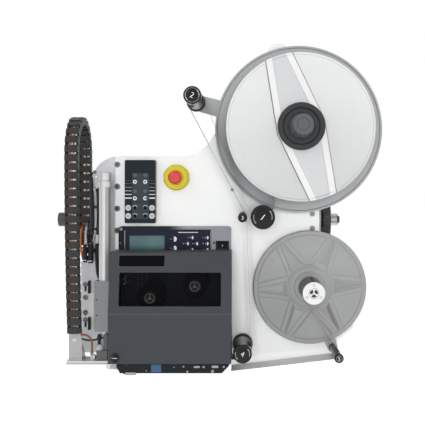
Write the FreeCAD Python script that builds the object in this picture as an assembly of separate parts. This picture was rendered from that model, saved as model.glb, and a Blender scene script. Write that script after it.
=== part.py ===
import FreeCAD, Part
import math
import os

# Print-and-apply labelling head, in millimetres.
# X runs to the operator's right, Y away from the operator and Z up.
# The origin is on the axis of the support bar, at the middle of the bar's free left end.
# A depth is measured forwards, towards the operator, from the front face of the main plate.

os.makedirs("parts", exist_ok=True)

# Clearances
gap = 0.3
run_fit = 0.05

# Support bar, its clamp blocks and the handwheel at its right end
plate_to_bar = 100.0
bar_dia = 32.0
bar_free_length = 90.0
bar_shoulder_x = 552.0
bar_chamfer = 1.0
bar_groove_width = 2.5
bar_groove_drop = 1.0
spigot_dia = 16.0
clamp_width = 40.0
clamp_wall = 14.0
left_clamp_x = 75.0
right_clamp_x = 531.5
clamp_slot = 3.0
wheel_dia = 100.0
wheel_width = 18.0
wheel_rim = 12.0
wheel_dish = 5.0
wheel_boss_dia = 40.0
wheel_boss_length = 8.0
wheel_knob_dia = 28.0
wheel_knob_length = 20.0
wheel_scallops = 16
scallop_dia = 12.0

# Main plate
plate_thick = 8.0
plate_top = 142.0
plate_bottom = -315.0
seam_x = 99.5
seam_gap = 0.4
sweep_x = 247.0
sweep_radius = 72.0
lobe_x = 457.6
lobe_z = 364.7
lobe_radius = 24.0
waist_x = 547.0
waist_z = -20.0
shoulder_x = 618.0
shoulder_z = -95.0
corner_radius = 133.0
tail_x = 572.0
tail_z = -294.0
plate_foot_x = 356.0
spare_hole_x = 272.0
spare_hole_z = 139.0
spare_hole_dia = 6.6

# Flush screws in the plates, and the engine's corner screws
clamp_screw_radius = 3.0
plate_screw_radius = 2.2
seam_screw_inset = 5.0
seam_screw_top = 123.8
seam_screw_pitch = 48.2
seam_screw_count = 4
tube_screw_x = 55.0
tube_screw_z = 106.8
small_screw_radius = 1.8
small_screw_x = 356.4
small_screw_z = 68.4
bezel_screw_radius = 2.0
bezel_screw_inset = 6.0

# Unwind reel, upper right
unwind_x = 500.0
unwind_z = 199.0
rear_disc_radius = 180.0
front_disc_radius = 155.0
disc_thick = 3.0
disc_bead = 1.5
bead_width = 4.0
rear_disc_depth = 22.0
core_length = 67.0
core_radius = 37.7
core_wall = 4.0
hub_spigot_radius = 20.0
ring_radius = 49.0
ring_thick = 16.0
ring_lip = 10.0
ring_valley = 3.0
bow_angle = 107.5
bow_root_width = 102.0
bow_tip_width = 57.0
bow_height = 5.0
bow_edge_width = 14.0
bow_floor_drop = 2.0
knob_radius = 25.0
knob_top_radius = 21.0
knob_length = 52.0
knob_flutes = 12
flute_dia = 7.0
unwind_shaft_dia = 20.0
shaft_flange_radius = 30.0
shaft_flange_thick = 4.0
brake_drum_radius = 46.0
brake_drum_width = 14.0

# Rewind reel, lower right
rewind_x = 524.0
rewind_z = -142.0
rewind_disc_radius = 122.5
rewind_disc_depth = 18.0
rewind_disc_thick = 5.0
rewind_rim_width = 9.5
rewind_boss_radius = 47.0
petal_count = 6
petal_first_angle = 3.0
petal_root_width = 33.0
petal_tip_width = 11.0
ridge_width = 10.0
pocket_depth = 2.5
panel_drop = 0.8
mandrel_radius = 23.0
mandrel_length = 104.0
mandrel_wall = 5.0
mandrel_collar_radius = 33.0
mandrel_collar_thick = 4.0
mandrel_slit = 3.0
end_cap_thick = 3.0
end_cap_recess_radius = 10.0
end_cap_recess = 1.5
end_cap_screw_circle = 16.5
end_cap_screw_dia = 5.0
end_cap_slot = 2.4
rewind_shaft_dia = 16.0
motor_side = 86.0
motor_length = 96.0
motor_corner = 12.0
motor_flange_thick = 10.0
motor_bore_depth = 20.0
motor_plug_width = 24.0
motor_plug_height = 8.0
motor_plug_inset = 2.0
motor_plug_length = 16.0
motor_body_inset = 3.0

# Bearing housings of both reels; the arms swing on their sleeves
housing_radius = 36.0
housing_flange_radius = 44.0
housing_flange_thick = 8.0
housing_length = 34.0
sleeve_radius = 15.0
sleeve_reach = 16.0

# Guide rollers: place, body radius, end cap radius and rear flange radius
roller_back = 14.0
roller_length = 100.0
long_roller_length = 107.0
dancer_roller_length = 127.0
axle_dia = 8.0
axle_boss_dia = 14.0
flange_width = 3.0
cap_thick = 9.0
cap_edge = 1.5
large_x = 420.5
large_z = 12.5
large_radius = 19.5
large_flange = 22.5
large_cap = 24.7
small_x = 379.0
small_z = 11.5
small_radius = 7.5
small_flange = 9.0
small_cap = 9.3
medium_x = 379.0
medium_z = -265.0
medium_radius = 15.0
medium_cap = 19.0
medium_flange = 21.7
dancer_radius = 14.5
dancer_cap = 18.0
dancer_flange = 20.5

# Dancer arms, each swinging about a reel axis
arm_back = 5.0
arm_thick = 7.0
arm_collar_height = 2.0
dancer_length = 229.7
dancer_angle = 165.0
dancer_root_width = 46.0
dancer_tip_width = 34.0
tail_length = 141.5
tail_angle = -68.9
tail_root_width = 46.0
tail_tip_width = 22.0

# Label web and backing web
web_thick = 0.4
web_back = 34.5
web_width = 57.0
web_lift = 0.3
slit_radius = 0.5

# Print engine
engine_left = 109.0
engine_right = 354.0
engine_top = -11.0
engine_bottom = -311.0
bezel_thick = 12.0
bezel_corner = 6.0
bezel_wall = 8.0
frame_inset = 3.0
cutout_margin = 5.3
chassis_depth = 250.0
chassis_wall = 2.0
chassis_front_wall = 6.0
chassis_top = -22.0
vent_count = 9
vent_pitch = 18.0
vent_width = 5.0
vent_length = 90.0
inlet_width = 50.0
inlet_height = 28.0
inlet_inset = 20.0
inlet_wall = 5.0
socket_count = 3
socket_pitch = 42.0
socket_width = 30.0
socket_height = 12.0
socket_proud = 5.0
display_left = 122.0
display_right = 311.0
display_top = -18.0
display_bottom = -78.0
display_seat = 2.0
display_thick = 12.0
lcd_left = 133.0
lcd_right = 209.3
lcd_top = -31.0
lcd_bottom = -74.0
lcd_recess = 2.0
key_dia = 9.0
key_height = 1.0
key_middle_z = -48.5
key_row_pitch = 13.0
cross_x = 268.0
cross_reach = 10.0
key_pair_gap = 22.7
key_pair_reach = 10.0
key_column_inset = 10.3
strip_length = 44.6
strip_height = 1.6
strip_drop = 5.4
rocker_left = 323.0
rocker_right = 347.0
rocker_top = -45.0
rocker_bottom = -72.0
rocker_proud = 3.0
rocker_side_gap = 1.0
rocker_pin_radius = 1.5
rocker_pin_reach = 1.8
rocker_pivot_depth = 6.0
frame_wall = 6.0
frame_depth = 28.0
frame_top = -82.0
chin_left = 150.0
chin_right = 351.0
chin_height = 25.0
chin_depth = 98.0
chin_chamfer = 15.0
cheek_thick = 8.0
platen_x = 138.0
platen_rise = 17.0
platen_radius = 8.5
platen_journal = 4.0
head_width = 34.0
head_height = 22.0
head_nose = 6.0
peel_thick = 1.6
tongue_left = 94.0
tongue_height = 11.0
tongue_thick = 7.0

# Engine lid, hinged along its top edge
lid_left = 107.0
lid_right = 356.0
lid_top = -60.3
lid_lap = 3.4
lid_crease = -182.7
lid_back = 30.0
lid_top_depth = 115.0
lid_depth = 140.0
lid_wall = 3.0
lid_edge_radius = 2.5
hinge_depth = 38.0
hinge_z = -70.0
hinge_pin_dia = 5.0
knuckle_radius = 5.0
knuckle_length = 18.0
ear_thick = 6.0
window_left = 128.3
window_right = 335.2
window_top = -100.3
window_bottom = -167.2
window_thick = 2.0
plate_mark_left = 128.0
plate_mark_right = 219.0
plate_mark_top = -66.6
plate_mark_bottom = -87.0
plate_mark_drop = 0.8
latch_x = 122.0
latch_rise = 12.6
latch_radius = 8.7
latch_stem_dia = 8.0
latch_proud = 5.0
supply_x = 280.6
supply_z = -130.5
supply_disc_radius = 28.5
takeup_x = 188.0
takeup_z = -155.0
takeup_disc_radius = 30.6
ribbon_hub_radius = 12.5
ribbon_hub_end = 106.0
ribbon_disc_depth = 20.0
ribbon_fins = 3

# Control panel and emergency stop
panel_left = 124.0
panel_right = 190.2
panel_bottom = -3.8
panel_top = 132.8
panel_thick = 22.0
panel_corner = 3.0
face_inset_left = 139.5
face_inset_right = 176.9
face_inset_top = 105.0
face_inset_bottom = 4.0
face_drop = 1.0
button_columns = (146.1, 168.4)
button_rows = (85.7, 50.1)
button_dia = 9.0
button_proud = 1.5
button_flange_dia = 12.0
button_flange_thick = 1.5
well_depth = 9.0
well_lip = 4.0
trimmer_rows = (29.3, 11.8)
trimmer_dia = 8.0
estop_x = 235.0
estop_z = 95.0
estop_ring_radius = 27.7
estop_ring_depth = 26.0
estop_ring_taper = 3.0
estop_collar_height = 8.0
estop_head_radius = 14.0
estop_head_thick = 12.0
estop_stem_radius = 7.0
estop_end = 60.0

# Applicator at the left
sub_left = 47.0
sub_foot_left = 25.0
sub_step_z = -88.0
sub_bottom = -288.0
sub_corner = 62.0
tube_x = 87.4
tube_depth = 60.0
tube_radius = 12.0
tube_bore = 9.0
tube_top = 88.0
tube_bottom = -122.5
tube_cap_radius = 13.5
tube_cap_height = 16.0
clamp_ring_radius = 15.5
clamp_ring_height = 12.0
clamp_ring_z = 74.0
block_left = 68.5
block_right = 106.3
block_bottom = -229.6
block_depth = 75.0
rod_dia = 10.0
piston_thick = 12.0
tamp_stroke = 150.0
piston_top = 74.0
guide_rod_dia = 8.0
guide_rod_depth = 42.0
guide_rod_left = 78.0
guide_rod_right = 92.0
foot_left = 11.0
foot_right = 106.0
foot_top = -289.3
foot_thick = 8.0
foot_back = 32.0
foot_clearance = 1.0
pad_hole_x = 57.0
pad_hole_spacing = 30.0
pad_hole_dia = 5.5
gusset_height = 34.0
block_hole_dia = 3.2
block_hole_inset = 5.0
block_hole_drop = 8.0
block_hole_z = -162.0
block_hole_pitch = 33.0

# Bracket of the end-of-stroke sensors, on the applicator plate
sensor_left = 30.0
sensor_right = 54.0
sensor_top = -129.5
sensor_bottom = -236.5
sensor_thick = 3.0
sensor_bar_left = 42.6
sensor_bar_width = 5.5
sensor_bar_length = 27.5
sensor_bar_proud = 10.0
sensor_screw_x = 36.0
sensor_screw_radius = 2.5
sensor_screw_drop = 7.5
sensor_screw_pitch = 29.0
sensor_slot_length = 17.0

# Cable carrier: links along a path in the YZ plane
chain_x = 28.0
chain_width = 28.0
chain_height = 17.0
chain_pitch = 18.0
chain_slot = 5.5
chain_wall = 3.0
joiner_side = 8.0
joiner_pin_radius = 2.0
link_play = 0.6
loop_clearance = 1.0
chain_start_depth = 80.0
chain_start_z = -232.0
chain_loop_depth = 36.0
chain_loop_z = 144.0
chain_loop_radius = 71.0
chain_end_z = -26.0
bracket_thick = 3.0
bracket_lap = 6.0
anchor_foot = 7.5
anchor_height = 30.0

plate_face_y = -plate_to_bar


def at(x, depth, z):
    """A point given by its depth in front of the main plate's face."""
    return FreeCAD.Vector(x, plate_face_y - depth, z)


def save(name, shape):
    """Write one sub-part and say how it came out."""
    shape = shape.removeSplitter()
    state = "ok" if shape.isValid() and shape.Volume > 0 else "BAD"
    counts = f"solids {len(shape.Solids):3d} faces {len(shape.Faces):4d}"
    print(f"{name:24s} {counts} volume {shape.Volume:12.1f} {state}")
    shape.exportStep("parts/" + name + ".step")


def group(shapes):
    """Separate solids kept together in one sub-part."""
    return Part.makeCompound(shapes)


def fused(shapes):
    """One solid from overlapping ones."""
    return shapes[0].fuse(shapes[1:])


def box(x0, x1, z0, z1, d0, d1):
    """A box between two X, two Z and two depths."""
    return Part.makeBox(x1 - x0, d1 - d0, z1 - z0, at(x0, d1, z0))


def rod(radius, x, z, d0, d1):
    """A round bar along Y, from depth d0 to depth d1."""
    return Part.makeCylinder(radius, d1 - d0, at(x, d0, z), FreeCAD.Vector(0, -1, 0))


def post(radius, x, depth, z0, z1):
    """A round bar along Z."""
    return Part.makeCylinder(radius, z1 - z0, at(x, depth, z0), FreeCAD.Vector(0, 0, 1))


def turned(profile, x, z):
    """A profile of (radius, depth) points turned about an axis along Y."""
    points = [at(x + radius, depth, z) for radius, depth in profile]
    face = Part.Face(Part.makePolygon(points + points[:1]))
    return face.revolve(at(x, 0, z), FreeCAD.Vector(0, 1, 0), 360)


def turned_along_x(profile):
    """A profile of (radius, X) points turned about the support bar's axis."""
    points = [FreeCAD.Vector(x, 0, radius) for radius, x in profile]
    face = Part.Face(Part.makePolygon(points + points[:1]))
    return face.revolve(FreeCAD.Vector(0, 0, 0), FreeCAD.Vector(1, 0, 0), 360)


def outline(start, *steps):
    """A closed outline in the XZ plane: a step is a corner, or a pair (point on the arc, arc's end)."""
    edges = []
    here = start
    for step in steps + (start,):
        if isinstance(step[0], tuple):
            edges.append(Part.Arc(at(here[0], 0, here[1]), at(step[0][0], 0, step[0][1]),
                                  at(step[1][0], 0, step[1][1])).toShape())
            here = step[1]
        elif math.dist(here, step) > 1e-6:
            edges.append(Part.makeLine(at(here[0], 0, here[1]), at(step[0], 0, step[1])))
            here = step
    return Part.Wire(edges)


def slab(wire, d0, d1):
    """An XZ outline made solid between two depths."""
    face = Part.Face(wire)
    face.translate(FreeCAD.Vector(0, -d0, 0))
    return face.extrude(FreeCAD.Vector(0, d0 - d1, 0))


def rounded(x0, x1, z0, z1, r):
    """A rectangle's outline with round corners."""
    k = r * (1 - math.sqrt(0.5))
    return outline((x0 + r, z0), (x1 - r, z0), ((x1 - k, z0 + k), (x1, z0 + r)), (x1, z1 - r),
                   ((x1 - k, z1 - k), (x1 - r, z1)), (x0 + r, z1), ((x0 + k, z1 - k), (x0, z1 - r)),
                   (x0, z0 + r), ((x0 + k, z0 + k), (x0 + r, z0)))


def polar(x, z, radius, degrees):
    """A point at an angle from +X about a centre, in the XZ plane."""
    return (x + radius * math.cos(math.radians(degrees)), z + radius * math.sin(math.radians(degrees)))


def profile_along_x(points, x0, x1):
    """A polygon of (depth, Z) points made solid between two X."""
    corners = [at(x0, depth, z) for depth, z in points]
    face = Part.Face(Part.makePolygon(corners + corners[:1]))
    return face.extrude(FreeCAD.Vector(x1 - x0, 0, 0))


def tangent(first, second):
    """Where a belt that leaves one circle and meets the next touches them.
    A circle is (x, z, radius, turn), with turn 1 for anticlockwise travel and -1 for clockwise."""
    x0, z0, r0, t0 = first
    x1, z1, r1, t1 = second
    length = math.dist((x0, z0), (x1, z1))
    heading = math.degrees(math.atan2(z1 - z0, x1 - x0))
    lean = math.degrees(math.asin((t0 * r0 - t1 * r1) / length))
    side = heading + lean - 90
    return polar(x0, z0, r0 * t0, side), polar(x1, z1, r1 * t1, side)


def link_outline(x0, z0, r0, x1, z1, r1):
    """An arm's outline: two round ends joined by their outer tangents."""
    leave, meet = tangent((x0, z0, r0, 1), (x1, z1, r1, 1))
    heading = math.degrees(math.atan2(z1 - z0, x1 - x0))
    back_leave, back_meet = tangent((x1, z1, r1, 1), (x0, z0, r0, 1))
    return outline(leave, meet, (polar(x1, z1, r1, heading), back_leave), back_meet,
                   (polar(x0, z0, r0, heading + 180), leave))


# Places worked out from the driving sizes
bar_left = -bar_free_length / 2
wheel_face_x = bar_shoulder_x + gap
wheel_end_x = wheel_face_x + wheel_boss_length + wheel_width + wheel_knob_length
front_disc_depth = rear_disc_depth + disc_thick + core_length
ring_depth = front_disc_depth + disc_thick + bow_height
knob_depth = ring_depth + ring_thick
dancer_x, dancer_z = polar(unwind_x, unwind_z, dancer_length, dancer_angle)
tail_x_axis, tail_z_axis = polar(rewind_x, rewind_z, tail_length, tail_angle)
mandrel_depth = rewind_disc_depth + rewind_disc_thick
mandrel_end = mandrel_depth + mandrel_length
rear_face = -plate_thick
housing_end = rear_face - housing_length
chassis_left = engine_left + cutout_margin
chassis_right = engine_right - cutout_margin
chassis_bottom = engine_bottom + cutout_margin
foot_bottom = foot_top - foot_thick
foot_front = chin_depth - cheek_thick - tongue_thick - foot_clearance
chin_top = engine_bottom + chin_height
platen_z = engine_bottom + platen_rise
lid_bottom = chin_top + lid_lap
latch_z = lid_bottom + latch_rise
lid_slope = (lid_depth - lid_top_depth) / (lid_top - lid_crease)


def main_plate():
    """The carrying plate: straight along the applicator seam, swept up to an arm behind the unwind reel."""
    sweep = (sweep_x, plate_top + sweep_radius, sweep_radius, 1)
    lobe = (lobe_x, lobe_z, lobe_radius, -1)
    sweep_end, lobe_start = tangent(sweep, lobe)
    sweep_mid = polar(sweep[0], sweep[1], sweep_radius,
                      (math.degrees(math.atan2(sweep_end[1] - sweep[1], sweep_end[0] - sweep[0])) - 90) / 2)
    lobe_end = (lobe_x + lobe_radius, lobe_z)
    corner_start = polar(rewind_x, rewind_z, corner_radius, -43)
    corner_mid = polar(rewind_x, rewind_z, corner_radius, -52)
    corner_end = polar(rewind_x, rewind_z, corner_radius, -61)
    left = seam_x + seam_gap / 2
    wire = outline((left, plate_bottom), (plate_foot_x, plate_bottom), (tail_x, tail_z), corner_end,
                   (corner_mid, corner_start), (shoulder_x, shoulder_z), (waist_x, waist_z),
                   (waist_x, unwind_z - 2 * housing_radius), lobe_end,
                   (polar(lobe_x, lobe_z, lobe_radius, 55), lobe_start), sweep_end,
                   (sweep_mid, (sweep_x, plate_top)), (left, plate_top))
    plate = slab(wire, rear_face, 0)
    cutouts = [box(chassis_left, chassis_right, chassis_bottom, chassis_top, rear_face, 0),
               rod(spare_hole_dia / 2, spare_hole_x, spare_hole_z, rear_face, 0),
               rod(sleeve_radius, unwind_x, unwind_z, rear_face, 0),
               rod(sleeve_radius, rewind_x, rewind_z, rear_face, 0)]
    for x, z in axle_places():
        cutouts.append(rod(axle_dia / 2, x, z, rear_face, 0))
    for x, z, radius in countersunk_places():
        cutouts.append(screw(x, z, 0, radius, plate_thick, True))
    save("main_plate", plate.cut(fused(cutouts)))


def applicator_plate():
    """The separate plate left of the seam, with its rounded top corner and wider foot."""
    right = seam_x - seam_gap / 2
    top_right = min(right, sub_left + sub_corner)
    arc_start_z = plate_top - sub_corner
    near_top = math.sqrt(sub_corner ** 2 - (sub_left + sub_corner - top_right) ** 2)
    wire = outline((sub_foot_left, sub_bottom), (right, sub_bottom), (right, arc_start_z + near_top),
                   (polar(sub_left + sub_corner, arc_start_z, sub_corner, 140), (sub_left, arc_start_z)),
                   (sub_left, sub_step_z), (sub_foot_left, sub_step_z))
    plate = slab(wire, rear_face, 0)
    holes = [screw(tube_screw_x, tube_screw_z, 0, plate_screw_radius, plate_thick, True)]
    holes += [rod(sensor_screw_radius, x, z, rear_face, 0) for x, z in sensor_screw_places()]
    save("applicator_plate", plate.cut(fused(holes)))


def axle_places():
    """Axes of the three rollers carried by the main plate."""
    return [(large_x, large_z), (small_x, small_z), (medium_x, medium_z)]


def countersunk_places():
    """Flush screws of the main plate, at the right clamp block, above the engine and down the seam."""
    spread = bar_dia / 2
    places = [(right_clamp_x, side * spread, clamp_screw_radius) for side in (-1, 1)]
    places.append((small_screw_x, small_screw_z, small_screw_radius))
    for step in range(seam_screw_count):
        places.append((seam_x + seam_screw_inset, seam_screw_top - seam_screw_pitch * step,
                       plate_screw_radius))
    return places


def sensor_screw_places():
    """Screws of the sensor bracket: two in slots, and two between them."""
    top = sensor_top - sensor_screw_drop
    bottom = sensor_bottom + sensor_slot_length + sensor_screw_drop / 2
    rows = (top, top - sensor_screw_pitch, bottom + sensor_screw_pitch / 2, bottom)
    return [(sensor_screw_x, z) for z in rows]


def screw(x, z, face, radius, length, cutter=False):
    """A countersunk screw whose head is flush with a face; as a cutter it is the hole for it."""
    head = 2 * radius
    profile = [(0, face), (head, face), (radius, face - radius), (radius, face - length), (0, face - length)]
    body = turned(profile, x, z)
    if cutter:
        return body
    socket = rod(radius * 0.9, x, z, face - radius * 0.8, face)
    return body.cut(socket)


def cap_screw(x, z, face, radius, grip):
    """A cylinder-head screw with a socket, standing on a face and reaching grip into it."""
    top = face + 2 * radius
    head = rod(1.7 * radius, x, z, face, top)
    socket = rod(0.9 * radius, x, z, face + radius, top)
    return fused([head, rod(radius, x, z, face - grip, face)]).cut(socket)


def fixing_screws():
    """All flush plate screws and the engine's corner screws."""
    screws = [screw(x, z, 0, radius, plate_thick) for x, z, radius in countersunk_places()]
    screws.append(screw(tube_screw_x, tube_screw_z, 0, plate_screw_radius, plate_thick))
    screws += [cap_screw(x, z, bezel_thick, bezel_screw_radius, bezel_thick)
               for x, z in bezel_screw_places()]
    screws += [cap_screw(x, z, sensor_thick, sensor_screw_radius, sensor_thick + plate_thick)
               for x, z in sensor_screw_places()]
    save("fixing_screws", group(screws))


def bezel_screw_places():
    """Corner screws of the engine's bezel."""
    inset = bezel_screw_inset
    return [(engine_left + inset, engine_top - inset), (engine_right - inset, engine_top - inset),
            (engine_left + inset, engine_bottom + inset), (engine_right - inset, engine_bottom + inset)]


def support_bar():
    """The round bar that carries the head: free end, stop-ring groove, and a spigot for the handwheel."""
    groove = bar_left + bar_free_length
    tip = bar_left - bar_chamfer
    radius = bar_dia / 2
    spigot = spigot_dia / 2
    spigot_end = wheel_end_x + spigot / 2
    profile = [(0, tip), (radius - bar_chamfer, tip), (radius, bar_left), (radius, groove),
               (radius - bar_groove_drop, groove), (radius - bar_groove_drop, groove + bar_groove_width),
               (radius, groove + bar_groove_width), (radius, bar_shoulder_x), (spigot, bar_shoulder_x),
               (spigot, spigot_end), (0, spigot_end)]
    save("support_bar", turned_along_x(profile))


def bar_blocks():
    """Two split clamp blocks behind the plate, bored for the bar."""
    half = bar_dia / 2 + clamp_wall
    blocks = []
    for x in (left_clamp_x, right_clamp_x):
        block = box(x - clamp_width / 2, x + clamp_width / 2, -half, half, -plate_to_bar - half, rear_face)
        bore = Part.makeCylinder(bar_dia / 2, clamp_width, FreeCAD.Vector(x - clamp_width / 2, 0, 0),
                                 FreeCAD.Vector(1, 0, 0))
        slot = box(x - clamp_width / 2, x + clamp_width / 2, -clamp_slot / 2, clamp_slot / 2,
                   -plate_to_bar - half, -plate_to_bar)
        block = block.makeChamfer(3.0, [edge for edge in block.Edges if edge.Length == clamp_width])
        bolts = [post(3.5, x + side * clamp_width / 4, -plate_to_bar - half + clamp_wall / 2, clamp_slot / 2,
                      half)
                 for side in (-1, 1)]
        blocks.append(block.cut(fused([bore, slot] + bolts)))
    save("bar_blocks", group(blocks))


def handwheel():
    """The adjusting wheel: boss, dished and scalloped rim, and a grip knob, turning on the bar's spigot."""
    x0 = wheel_face_x
    x1 = x0 + wheel_boss_length
    x2 = x1 + wheel_width
    x3 = x2 + wheel_knob_length
    bore = spigot_dia / 2 + run_fit
    rim = wheel_dia / 2
    web_left = x1 + wheel_dish
    web_right = x2 - wheel_dish
    knob = wheel_knob_dia / 2
    profile = [(bore, x0), (wheel_boss_dia / 2, x0), (wheel_boss_dia / 2, web_left),
               (rim - wheel_rim, web_left),
               (rim - wheel_rim, x1), (rim - 2, x1), (rim, x1 + 2), (rim, x2 - 2), (rim - 2, x2),
               (rim - wheel_rim, x2), (rim - wheel_rim, web_right), (knob + 4, web_right), (knob, x2),
               (knob, x3 - 3), (knob - 3, x3), (bore, x3)]
    wheel = turned_along_x(profile)
    cutters = []
    for step in range(wheel_scallops):
        turn = 2 * math.pi * step / wheel_scallops
        reach = rim + scallop_dia / 3
        cutters.append(Part.makeCylinder(scallop_dia / 2, wheel_width, FreeCAD.Vector(
            x1, reach * math.cos(turn), reach * math.sin(turn)), FreeCAD.Vector(1, 0, 0)))
    save("handwheel", wheel.cut(fused(cutters)))


def disc_profile(inner, outer, depth):
    """A sheet disc with a rolled bead at its rim."""
    return [(inner, depth), (outer, depth), (outer, depth + disc_thick + disc_bead),
            (outer - bead_width, depth + disc_thick + disc_bead),
            (outer - bead_width - disc_bead, depth + disc_thick),
            (inner, depth + disc_thick)]


def bow_arm(half_turn):
    """One arm of the stiffener across the front disc, widest at the hub, as a solid and its sunken floor."""
    reach = front_disc_radius - bead_width - 2 * disc_bead
    lean = bow_angle + 180 * half_turn

    def corner(along, side, inset):
        half = (bow_root_width + (bow_tip_width - bow_root_width) * along / reach) / 2
        x, z = polar(unwind_x, unwind_z, along, lean)
        return polar(x, z, side * (half - inset), lean + 90)

    def trapezoid(inset, start, end):
        return outline(corner(start, -1, inset), corner(end, -1, inset), corner(end, 1, inset),
                       corner(start, 1, inset))

    top = front_disc_depth + disc_thick
    raised = slab(trapezoid(0, 0, reach), top, top + bow_height)
    floor = slab(trapezoid(bow_edge_width, ring_radius - bow_height, reach + disc_bead),
                 top + bow_height - bow_floor_drop, top + bow_height)
    return raised, floor


def unwind_reel():
    """Both discs, the core mandrel, its clamping ring and knob, and the shaft with the brake drum."""
    centre = (unwind_x, unwind_z)
    shaft = unwind_shaft_dia / 2
    save("unwind_rear_disc", turned(disc_profile(shaft, rear_disc_radius, rear_disc_depth), *centre))
    front = turned(disc_profile(hub_spigot_radius, front_disc_radius, front_disc_depth), *centre)
    arms = [bow_arm(0), bow_arm(1)]
    centre_hole = rod(hub_spigot_radius, unwind_x, unwind_z, front_disc_depth, ring_depth)
    raised = fused([arms[0][0], arms[1][0]]).cut(fused([arms[0][1], arms[1][1], centre_hole]))
    save("unwind_front_disc", front.fuse(raised))
    start = rear_disc_depth + disc_thick
    mandrel = [(shaft, start), (core_radius, start), (core_radius, front_disc_depth),
               (hub_spigot_radius, front_disc_depth), (hub_spigot_radius, ring_depth), (shaft, ring_depth),
               (shaft, front_disc_depth - 6), (core_radius - core_wall, front_disc_depth - 6),
               (core_radius - core_wall, start + 6), (shaft, start + 6)]
    save("unwind_hub", turned(mandrel, *centre))
    ring = [(shaft, ring_depth), (ring_radius - 2, ring_depth), (ring_radius, ring_depth + 2),
            (ring_radius, knob_depth - 3), (ring_radius - 3, knob_depth),
            (ring_radius - ring_lip, knob_depth),
            (ring_radius - ring_lip - ring_valley, knob_depth - ring_valley),
            (knob_radius + ring_valley, knob_depth - ring_valley), (knob_radius + 1, knob_depth - 1),
            (knob_radius + 1, knob_depth - gap), (shaft, knob_depth - gap)]
    save("hub_ring", turned(ring, *centre))
    knob_end = knob_depth + knob_length
    bore = shaft + run_fit
    knob = turned([(bore, knob_depth), (knob_radius, knob_depth), (knob_radius, knob_depth + 8),
                   (knob_top_radius, knob_end - 3), (knob_top_radius - 3, knob_end),
                   (knob_top_radius - 8, knob_end),
                   (knob_top_radius - 9, knob_end - 2), (0, knob_end - 2), (0, knob_end - 14),
                   (bore, knob_end - 14)],
                  *centre)
    flutes = []
    for step in range(knob_flutes):
        x, z = polar(unwind_x, unwind_z, knob_radius + 1, 360 * step / knob_flutes)
        flutes.append(rod(flute_dia / 2, x, z, knob_depth + 10, knob_end))
    save("unwind_knob", knob.cut(fused(flutes)))
    flange_back = rear_disc_depth - shaft_flange_thick
    drum_front = housing_end - gap
    drum_back = drum_front - brake_drum_width
    spindle = [(0, drum_back), (brake_drum_radius, drum_back), (brake_drum_radius, drum_front),
               (brake_drum_radius - 5, drum_front), (brake_drum_radius - 5, drum_back + 4),
               (shaft + 6, drum_back + 4),
               (shaft + 6, drum_front), (shaft - run_fit, drum_front), (shaft - run_fit, flange_back),
               (shaft_flange_radius, flange_back), (shaft_flange_radius, rear_disc_depth),
               (shaft, rear_disc_depth),
               (shaft, knob_depth - gap), (shaft, knob_end - 15), (0, knob_end - 15)]
    save("unwind_shaft", turned(spindle, *centre))


def petal(angle):
    """The cutter for one pocket of the rewind disc: a wedge from the boss to a round tip at the rim."""
    half = petal_root_width / 2
    tip = petal_tip_width / 2
    end = rewind_disc_radius - rewind_rim_width - tip

    def place(along, across):
        x, z = polar(rewind_x, rewind_z, along, angle)
        return polar(x, z, across, angle + 90)

    wire = outline(place(rewind_boss_radius, -half), place(end, -tip),
                   (place(end + tip, 0), place(end, tip)),
                   place(rewind_boss_radius, half))
    return slab(wire, mandrel_depth - pocket_depth, mandrel_depth)


def sector(angle):
    """The cutter for the shallow panel between two petals: its sides run a ridge's width beside theirs."""
    outer = rewind_disc_radius - rewind_rim_width
    slope = (petal_root_width - petal_tip_width) / 2 / (outer - rewind_boss_radius)
    side = petal_root_width / 2 + ridge_width + slope * rewind_boss_radius
    half = math.radians(180 / petal_count)
    apex = side / (math.sin(half) + slope * math.cos(half))
    spread = math.degrees(half - math.asin((side - slope * outer) / outer))
    return slab(outline(polar(rewind_x, rewind_z, apex, angle),
                        polar(rewind_x, rewind_z, outer, angle - spread),
                        (polar(rewind_x, rewind_z, outer, angle),
                         polar(rewind_x, rewind_z, outer, angle + spread))),
                mandrel_depth - panel_drop, mandrel_depth)


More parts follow.
